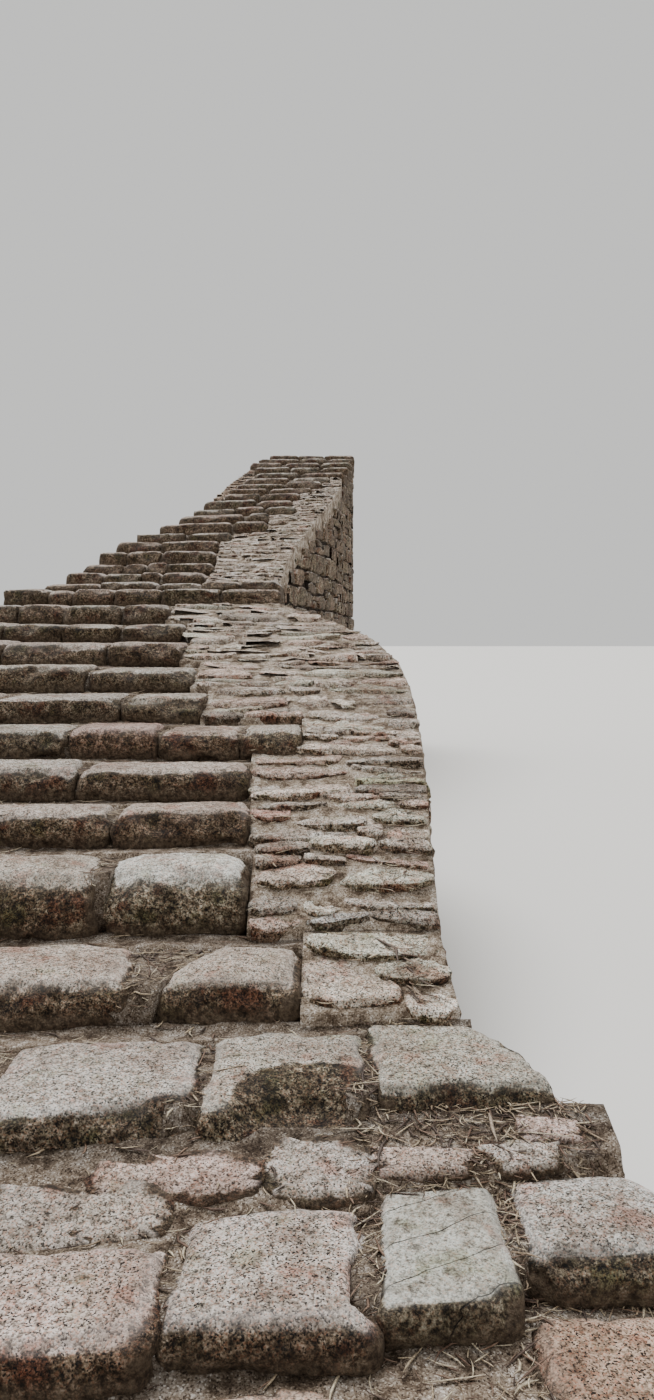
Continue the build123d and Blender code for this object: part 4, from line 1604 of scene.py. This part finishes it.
@dataclass
class TreadEarth:
    """The earth behind each course and in the joints between blocks, banked up against the next riser.

    Attributes:
        drop: How far the earth lies below the tops of the blocks.
        spill: How far back the earth in an open joint slopes up from the foot of the riser.
        banked: The course behind which the earth is a bank that carries flat stones.
        stand: How far the flat stones stand out of the bank.
        coarser: How much wider apart the points of the earth are than those of the blocks.
        under: How far the earth reaches under the blocks round it.
        depths: How deep the bank, the other strips and the joints are.
    """

    finish: Material
    flight: GraniteFlight
    drop: float = 0.014
    spill: float = 0.070
    banked: int = 2
    stand: float = 0.013
    coarser: float = 1.3
    under: float = 0.03
    depths: tuple[float, float, float] = (0.25, 0.15, 0.05)
    patches: list[Array] = field(default_factory=list)
    damp: list[Array] = field(default_factory=list)

    def riser(self, number: int, x: Array) -> Array:
        """How far along the front of a course lies at x."""
        corners = np.concatenate([block.outline[:2] for block in self.flight.blocks[number]])
        return np.interp(x, corners[:, 0], corners[:, 1])

    def ground(self, grid: Array, seed: int) -> Array:
        """Adds crumbs and hollows to a grid of smooth earth."""
        grid[..., 2] += 4 * MM * lumps(grid, 0.12, seed) + 2.5 * MM * lumps(grid, 0.035, seed + 1)
        return grid

    def bank(self, grid: Array) -> Array:
        """The level of the bank: a plane fitted by least squares to the flat stones' tops, and lowered.

        Args:
            grid: Points in plan.

        Returns:
            One level for each point.
        """
        flags = Solid.read("tread_flags")
        tops = flags.vertices[np.unique(flags.triangles[flags.facing()[:, 2] > 0.95])]
        table = np.column_stack([tops[:, :2], np.ones(len(tops))])
        slope_x, slope_y, level = np.linalg.lstsq(table, tops[:, 2], rcond=None)[0]
        return slope_x * grid[..., 0] + slope_y * grid[..., 1] + level - self.stand

    def behind(self, number: int, cell: float) -> Array | None:
        """The strip of earth between the backs of a course and the next riser.

        Args:
            number: The course's number.
            cell: The spacing of the points.

        Returns:
            The grid of points, or None above the last course.
        """
        if number + 1 not in self.flight.blocks:
            return None
        blocks = self.flight.blocks[number]
        backs = np.concatenate([block.outline[[3, 2]] for block in blocks])
        columns = max(6, round(np.ptp(backs[:, 0]) / cell) + 1)
        x = np.linspace(backs[0, 0] - 0.01, backs[-1, 0] + 0.01, columns)
        near = np.interp(x, backs[:, 0], backs[:, 1]) - self.under
        far = np.maximum(self.riser(number + 1, x) + self.under, near + 0.02)
        rows = max(4, round(float((far - near).max()) / cell) + 1)
        v = np.linspace(0, 1, rows)
        grid = np.zeros((len(x), rows, 3))
        grid[..., 0] = x[:, None]
        grid[..., 1] = near[:, None] * (1 - v) + far[:, None] * v
        middles, tops = np.array([[block.centre[0], block.top] for block in blocks]).T
        grid[..., 2] = (np.interp(x, middles, tops) - self.drop)[:, None]
        if number == self.banked:
            grid[..., 2] += (self.bank(grid) - grid[..., 2]) * ease(v, 0.04, 0.22)
        else:
            grid[..., 2] += 0.014 * ease(v, 0.55, 1.0)
        # painted shade: the earth darkens towards the foot of the next riser, and the bank's earth also gets
        # a darker tone all over
        shadow = 1 - ease(far[:, None] - grid[..., 1], 0.03, 0.17)
        self.damp.append(0.55 * shadow + (0.30 if number == self.banked else 0.05))
        return self.ground(grid, 7 * number)

    def joint(self, left: Block, right: Block, cell: float, seed: int) -> Array:
        """The earth between two blocks: it slopes up from the foot of the riser and then runs level.

        Args:
            left: The block on the left.
            right: The block on the right.
            cell: The spacing of the points.
            seed: Makes the crumbs its own.

        Returns:
            The grid of points.
        """
        corners = np.array([left.outline[1], right.outline[0], right.outline[3], left.outline[2]])
        corners[[0, 3], 0] -= self.under
        corners[[1, 2], 0] += self.under
        corners[:2, 1] += 0.018
        corners[2:, 1] += 0.02
        width, depth = float(np.ptp(corners[:, 0])), float(corners[2:, 1].mean() - corners[:2, 1].mean())
        columns, rows = max(5, round(width / cell) + 1), max(6, round(depth / cell) + 1)
        u, v = np.meshgrid(np.linspace(0, 1, columns), np.linspace(0, 1, rows), indexing="ij")
        grid = bilinear(corners, u, v)
        foot, top = max(left.foot, right.foot), min(left.top, right.top) - self.drop - 0.014
        grid[..., 2] = foot + (top - foot) * ease(v * depth, -0.03, self.spill)
        # painted shade: the earth is darkest at the front of the joint, low between the blocks, and lighter
        # towards its back
        self.damp.append(0.75 - 0.55 * v)
        return self.ground(grid, seed)

    def build(self) -> None:
        """Builds all the earth as one piece: deep strips, whose ends reach the walls, and shallow joints."""
        depths = []
        for number, blocks in self.flight.blocks.items():
            cell = self.coarser * self.flight.cell(number)
            strip = self.behind(number, cell)
            if strip is not None:
                self.patches.append(strip)
                depths.append(self.depths[0] if number == self.banked else self.depths[1])
            for index, (left, right) in enumerate(zip(blocks, blocks[1:])):
                self.patches.append(self.joint(left, right, cell, 9 * number + index))
                depths.append(self.depths[2])
        parts = [earth_patch(*patch) for patch in zip(self.patches, depths, self.damp)]
        Surface.joined(parts).to_piece("earth_in_joints", self.finish, Slot.EARTH, ("tread_earth",))


@dataclass
class TreadFlags:
    """The small flat stones on the banked earth, each a worn and knocked form of its solid.

    Attributes:
        spread: How far the ragged rim of a stone stands out from the solid's.
        cell: The spacing of the points.
    """

    finish: Material
    flight: GraniteFlight
    spread: float = 0.042
    cell: float = 0.012
    tints: tuple[str, ...] = ("#DFCFC8", "#DAD3CD", "#E3CFC9", "#D3CCC7")

    def build(self) -> None:
        """Builds the flags as one piece."""
        parts = []
        dressing = Dressing(hump=0.002, fine=0.2, chips=0.15, trim=0.2, power=60.0)
        for index, solid in enumerate(Solid.read("tread_flags").parts()):
            block = Block(solid, float(solid.vertices[:, 2].min()) + 0.01, self.spread)
            tint = self.tints[index % len(self.tints)]
            parts.append(self.flight.surface(block, self.cell, dressing, tint, 5000 + 17 * index))
        Surface.joined(parts).to_piece("flat_stones_on_tread", self.finish, Slot.BLOCKS, ("tread_flags",))


@dataclass
class LeafLitter:
    """Dead leaves and strips of bark that lie on the earth of the treads, joints and pitching.

    Attributes:
        sparse: Pieces to a square metre of the open earth.
        dense: Pieces to a square metre at the right of the lowest courses, where feet seldom tread.
        gathered: How many times as much lies in the joints as on the open earth.
        joint_width: A grid narrower than this is a joint.
        thick: Half the thickness of a leaf.
        strips: The long strips of bark: their place in plan, heading in degrees, length in metres, width in
            millimetres and colour.
    """

    finish: Material
    sparse: float = 340.0
    dense: float = 4300.0
    gathered: float = 6.5
    joint_width: float = 0.4
    thick: float = 0.0012
    tints: Array = field(
        default_factory=lambda: colours("#B09B82", "#D9CCB2", "#6F5646", "#8F7461", "#C6B498", "#57453A")
    )
    strips: tuple[tuple[float, float, float, float, float, str], ...] = (
        (0.66, 0.87, -67.0, 0.12, 9.0, "#54453A"),
        (0.94, 0.93, 77.0, 0.17, 9.0, "#5A4C43"),
        (1.25, 1.05, 85.0, 0.26, 11.0, "#B9A895"),
        (1.38, 1.00, 165.0, 0.15, 12.0, "#C4B6A2"),
        (0.52, 1.24, 20.0, 0.20, 6.0, "#B8A68C"),
        (0.98, 1.18, -25.0, 0.24, 8.0, "#C9BBA3"),
        (1.02, 1.92, -56.0, 0.36, 16.0, "#6B5A4E"),
        (1.07, 1.84, -62.0, 0.32, 12.0, "#8B7768"),
        (1.10, 1.74, -66.0, 0.34, 14.0, "#5C4B40"),
        (1.09, 1.66, -70.0, 0.26, 12.0, "#A08C79"),
        (1.12, 2.36, -78.0, 0.28, 9.0, "#7A6757"),
        (0.10, 1.62, 8.0, 0.22, 5.0, "#4D4038"),
    )

    def surface(self, pieces: Array, tones: Array, dice: Dice) -> Surface:
        """Curled strips: a flat three-sided section carried along a bent line that narrows to both ends.

        Args:
            pieces: The place of each strip's middle, its heading, half its length and half its width.
            tones: The linear colour of each strip.
            dice: The source of chance.

        Returns:
            The closed strips as one surface.
        """
        count, stations, sides = len(pieces), 4, 3
        places, heading, half, broad = pieces[:, :3], pieces[:, 3], pieces[:, 4:5], pieces[:, 5:6]
        t = np.linspace(-1, 1, stations)
        ahead = np.stack([np.cos(heading), np.sin(heading), dice.normal(0, 0.08, count)], -1)
        aside = np.stack([-np.sin(heading), np.cos(heading), dice.normal(0, 0.25, count)], -1)
        up = np.cross(ahead, aside)
        bend, curl = dice.normal(0, 0.20, (count, 1)), dice.uniform(-0.04, 0.13, (count, 1))
        spine = places[:, None] + ahead[:, None] * (half * t)[..., None]
        spine = spine + aside[:, None] * (bend * half * t**2)[..., None]
        spine = spine + up[:, None] * (curl * half * t**2)[..., None]
        across = aside[:, None] * (broad * (1 - 0.85 * t**4))[..., None]
        through = up[:, None] * (np.full((count, 1), self.thick) * (1 - 0.6 * t**4))[..., None]
        ring = [(1, -0.5), (0, 1), (-1, -0.5)]
        points = np.stack([spine + (a * across + b * through) for a, b in ring], axis=2)
        index = np.arange(stations * sides).reshape(stations, sides)
        around = np.roll(index, -1, axis=1)
        quads = np.stack([index[:-1], index[1:], around[1:], around[:-1]], -1).reshape(-1, 4)[:, ::-1]
        points = points.reshape(count, stations * sides, 3)
        weather = np.ones((count, stations * sides, 4))
        return Surface.repeated(points, quads, [index[0], index[-1][::-1]], tones, weather)

    def scattered(self, grid: Array, dice: Dice, base: float, edge: float = 0.0) -> Array:
        """Picks places on a grid of earth by chance, as many as the density and a cell's area call for.

        The litter thins out up the flight, where the wind takes it, and on the lowest tread, where feet do.

        Args:
            grid: Points across and back.
            dice: The source of chance.
            base: Pieces to a square metre where they are not dense.
            edge: 1 if the dense scatter lies along the right-hand edge of the grid, and 0 if at the lowest
                courses.

        Returns:
            The places.
        """
        across, back = np.diff(grid, axis=0)[:, :-1], np.diff(grid, axis=1)[:-1]
        area = np.linalg.norm(np.cross(across, back), axis=-1)
        corner = grid[:-1, :-1]
        right = ease(corner[..., 0], 0.72, 1.15) * (1 - ease(corner[..., 1], 2.2, 3.4))
        share = np.linspace(0, 1, len(corner))[:, None]
        rim = edge * ease(share, 0.66, 0.90)
        margin = 0.05 if np.ptp(grid[..., 0]) > self.joint_width else 0.002
        inside = corner[-1:, :, 0] - corner[..., 0] > margin
        density = (base + self.dense * np.clip(right * (1 - edge) + rim, 0, 1)) * inside
        thinned = (1 - 0.8 * ease(corner[..., 1], 3.5, 6.0)) * (0.3 + 0.7 * ease(corner[..., 1], 0.3, 0.7))
        density = density * thinned
        chosen = dice.random(area.shape) < density * area
        share = dice.random((2, int(chosen.sum()), 1))
        return corner[chosen] + across[chosen] * share[0] + back[chosen] * share[1]

    def build(self, earth: TreadEarth, beds: list[Pitching]) -> None:
        """Scatters the litter over the earth, thickest near the foot of the steps and beside the pitching.

        Args:
            earth: The earth of the treads and joints.
            beds: The pitching, whose beds get litter too.
        """
        dice = np.random.default_rng(77)
        places = []
        for grid in earth.patches:
            share = self.gathered if np.ptp(grid[..., 0]) < self.joint_width else 1.0
            places.append(self.scattered(grid, dice, self.sparse * share))
        for bed in beds:
            places += [self.scattered(grid, dice, self.sparse, 1.0) + [0, 0, 0.022] for grid in bed.patches]
        spots = np.concatenate(places) + [0, 0, 0.006]
        spots = spots[spots[:, 1] < spots[:, 1].max() - 0.07]
        half = np.clip(dice.gamma(2.2, 0.010, len(spots)), 0.006, 0.07)
        width = np.clip(dice.uniform(0.03, 0.13, len(spots)) * half, 0.0009, 0.0040)
        pieces = np.column_stack([spots, dice.uniform(0, 2 * math.pi, len(spots)), half, width])
        tones = self.tints[dice.integers(len(self.tints), size=len(spots))]
        tones = tones * dice.uniform(0.7, 1.15, (len(spots), 1))

        grids = [grid for part in (earth, *beds) for grid in part.patches]
        ground = np.concatenate([grid.reshape(-1, 3) for grid in grids])
        strips = []
        for x, y, heading, length, width_mm, _ in self.strips:
            level = ground[np.hypot(ground[:, 0] - x, ground[:, 1] - y).argmin(), 2]
            strips.append([x, y, level + 0.016, math.radians(heading), length / 2, width_mm * MM / 2])
        bark = colours(*(strip[-1] for strip in self.strips))
        surface = self.surface(np.vstack([pieces, strips]), np.vstack([tones, bark]), dice)
        surface.to_piece("leaf_litter", self.finish, Slot.EARTH)


@dataclass
class Studio:
    """A plain pale floor, soft light from above and a camera where the photograph was taken from.

    Attributes:
        eye: The camera's place: at standing height, 1.5 m in front of the lowest riser.
        dip: How far the camera looks down, in degrees.
        focal: The focal length for a 36 mm long side, from 1000 pixels over a 1400-pixel-high picture.
        floor_reach: How far the floor reaches to each side.
        floor_level: The level of its top, just under the steps.
        surround: How bright the pale surround is.
        lamp: How bright the high lamp is, in watts to a square metre.
        softness: How wide the lamp looks, in degrees.
        turn: How the lamp is turned about X and about Y, in degrees.
    """

    eye: tuple[float, float, float] = (0.80, -1.63, 1.65)
    dip: float = 3.43
    focal: float = 1000 / 1400 * 36
    floor_reach: float = 260.0
    floor_level: float = -0.001
    surround: float = 0.90
    lamp: float = 3.75
    softness: float = 38.0
    turn: tuple[float, float] = (-24.0, -12.0)

    def floor(self) -> None:
        """Lays the floor, a slab under the middle of the steps."""
        ends = np.array([[-1, -1], [-1, 1], [1, -1], [1, 1]]) * self.floor_reach
        top = np.column_stack([ends + [0, 7], np.full(4, self.floor_level)])
        quads, cap, rim = capped_grid(2, 2, 1)
        points = np.concatenate([top, top[rim] - [0, 0, 0.1]])
        mesh = bpy.data.meshes.new("studio_floor")
        mesh.from_pydata(points.tolist(), [], quads.tolist() + [cap.tolist()])
        mesh.materials.append(StudioPaint("studio_paint").build())
        floor = placed("studio_floor", mesh)

    def light(self) -> None:
        """Sets a pale surround, and one soft lamp high up, behind the steps and to the left."""
        world = bpy.data.worlds.new("studio_surround")
        world.use_nodes = True
        surround = world.node_tree.nodes["Background"]
        surround.inputs["Color"].default_value = linear("#F3F3F1")
        surround.inputs["Strength"].default_value = self.surround
        bpy.context.scene.world = world
        data = bpy.data.lights.new("high_lamp", "SUN")
        data.angle = math.radians(self.softness)
        data.energy = self.lamp
        lamp = placed("high_lamp", data)
        lamp.location = (-3.0, 12.0, 15.0)
        lamp.rotation_euler = (*(math.radians(angle) for angle in self.turn), 0.0)

    def camera(self) -> None:
        """Places the camera at the photograph's viewing angle."""
        data = bpy.data.cameras.new("camera")
        data.sensor_width = 36.0
        data.lens = self.focal
        data.clip_end = 400.0
        camera = placed("camera", data)
        camera.location = self.eye
        camera.rotation_euler = (math.radians(90 - self.dip), 0.0, 0.0)
        bpy.context.scene.camera = camera

    def build(self) -> None:
        """Builds the floor, the light and the camera."""
        self.floor()
        self.light()
        self.camera()


def main() -> None:
    """Loads the frame, builds every piece in order and notes the sizes."""
    logging.basicConfig(level=logging.INFO, format="%(message)s")
    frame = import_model()
    nodes = frame["nodes"]
    Studio().build()

    granite = SplitGranite("split_granite").build()
    pale_faces = ("#CBC3BA", "#E9E3DB", "#FFFFFF")
    cobble = SplitGranite("worn_pitching_granite", face_grime_and_shade=pale_faces, grime_and_shade_colour="#A08F7C").build()
    walling = SplitGranite(
        "walling_granite",
        face_grime_and_shade=("#C9C1B8", "#E6E0D8", "#FCF9F5"),
        stains=("#DCC9BA", "#D2D2C0"),
        lichen="#B3B6A0",
        grain_mm=8.0,
        rough_mm=(2.0, 7.0, 12.0),
    ).build()
    earth = TroddenEarth("sandy_earth").build()
    grit = TroddenEarth(
        "pale_gritty_earth",
        tones=((0.0, "#A09485"), (0.28, "#C2B6A8"), (0.58, "#D6CCC0"), (0.80, "#776A5D"), (0.90, "#F1EBE2")),
    ).build()
    packing = TroddenEarth(
        "damp_packing_earth",
        tones=((0.0, "#2A221C"), (0.30, "#3D3128"), (0.70, "#53463A"), (0.90, "#6B5D4D")),
        crumb_mm=9.0,
    ).build()
    litter = DryLitter("dry_leaves_and_bark").build()

    flight = GraniteFlight(granite)
    flight.read(list(nodes))
    flight.build()
    TreadFlags(granite, flight).build()
    soil = TreadEarth(earth, flight)
    soil.build()

    lower_tints = colours(
        "#F8EFE7", "#EEE7DF", "#FBF0E7", "#EBD9D0", "#E9EADE", "#E3DED8", "#CAC4BD", "#F4EAE2"
    )
    accents = (
        (0.61, 2.62, "#E6C6BD"),
        (1.02, 2.87, "#E8EDD2"),
        (0.81, 2.03, "#E0E4E6"),
        (0.98, 1.70, "#EFE7DD"),
        (1.10, 2.30, "#E2CBC3"),
    )
    lower = Pitching("lower_pitching", "lower_pitched_stones", cobble, grit, lower_tints, 201)
    lower.near_steps, lower.accents = 16, accents
    upper_tints = colours("#FBF4ED", "#F4ECE5", "#FFFBF5", "#EBE3DC", "#DBD4CD")
    upper = Pitching("upper_pitching", "upper_pitched_stones", cobble, grit, upper_tints, 202, length=0.17)
    bank_tints = colours("#D0C2B5", "#C2B4A8", "#CAB6A7", "#B3A69A")
    bank = Pitching("left_bank", "left_bank_stones", cobble, grit, bank_tints, 203, length=0.17)
    for pitching in (lower, upper, bank):
        pitching.build()
    LeafLitter(litter).build(soil, [lower, upper, bank])

    wall_tints = colours("#E6DFD8", "#D9D3CC", "#E8DCD3", "#CBC7C1", "#DCD8CC", "#BFB6AC", "#EFE9E2")
    for node, side, seed, free in (
        ("lower_left_wall", Side.LEFT, 301, 0.0),
        ("lower_right_wall", Side.RIGHT, 302, 2.1),
        ("upper_left_wall", Side.LEFT, 303, 0.0),
        ("upper_right_wall", Side.RIGHT, 304, 0.0),
        ("back_wall", Side.BACK, 305, 0.0),
    ):
        DryWall(node, side, walling, packing, wall_tints, seed, free=free).build()
    for name in ("lower_rubble_core", "upper_rubble_core"):
        core = nodes[name]
        core.data.materials.clear()
        core.data.materials.append(packing)


if __name__ == "__main__":
    main()
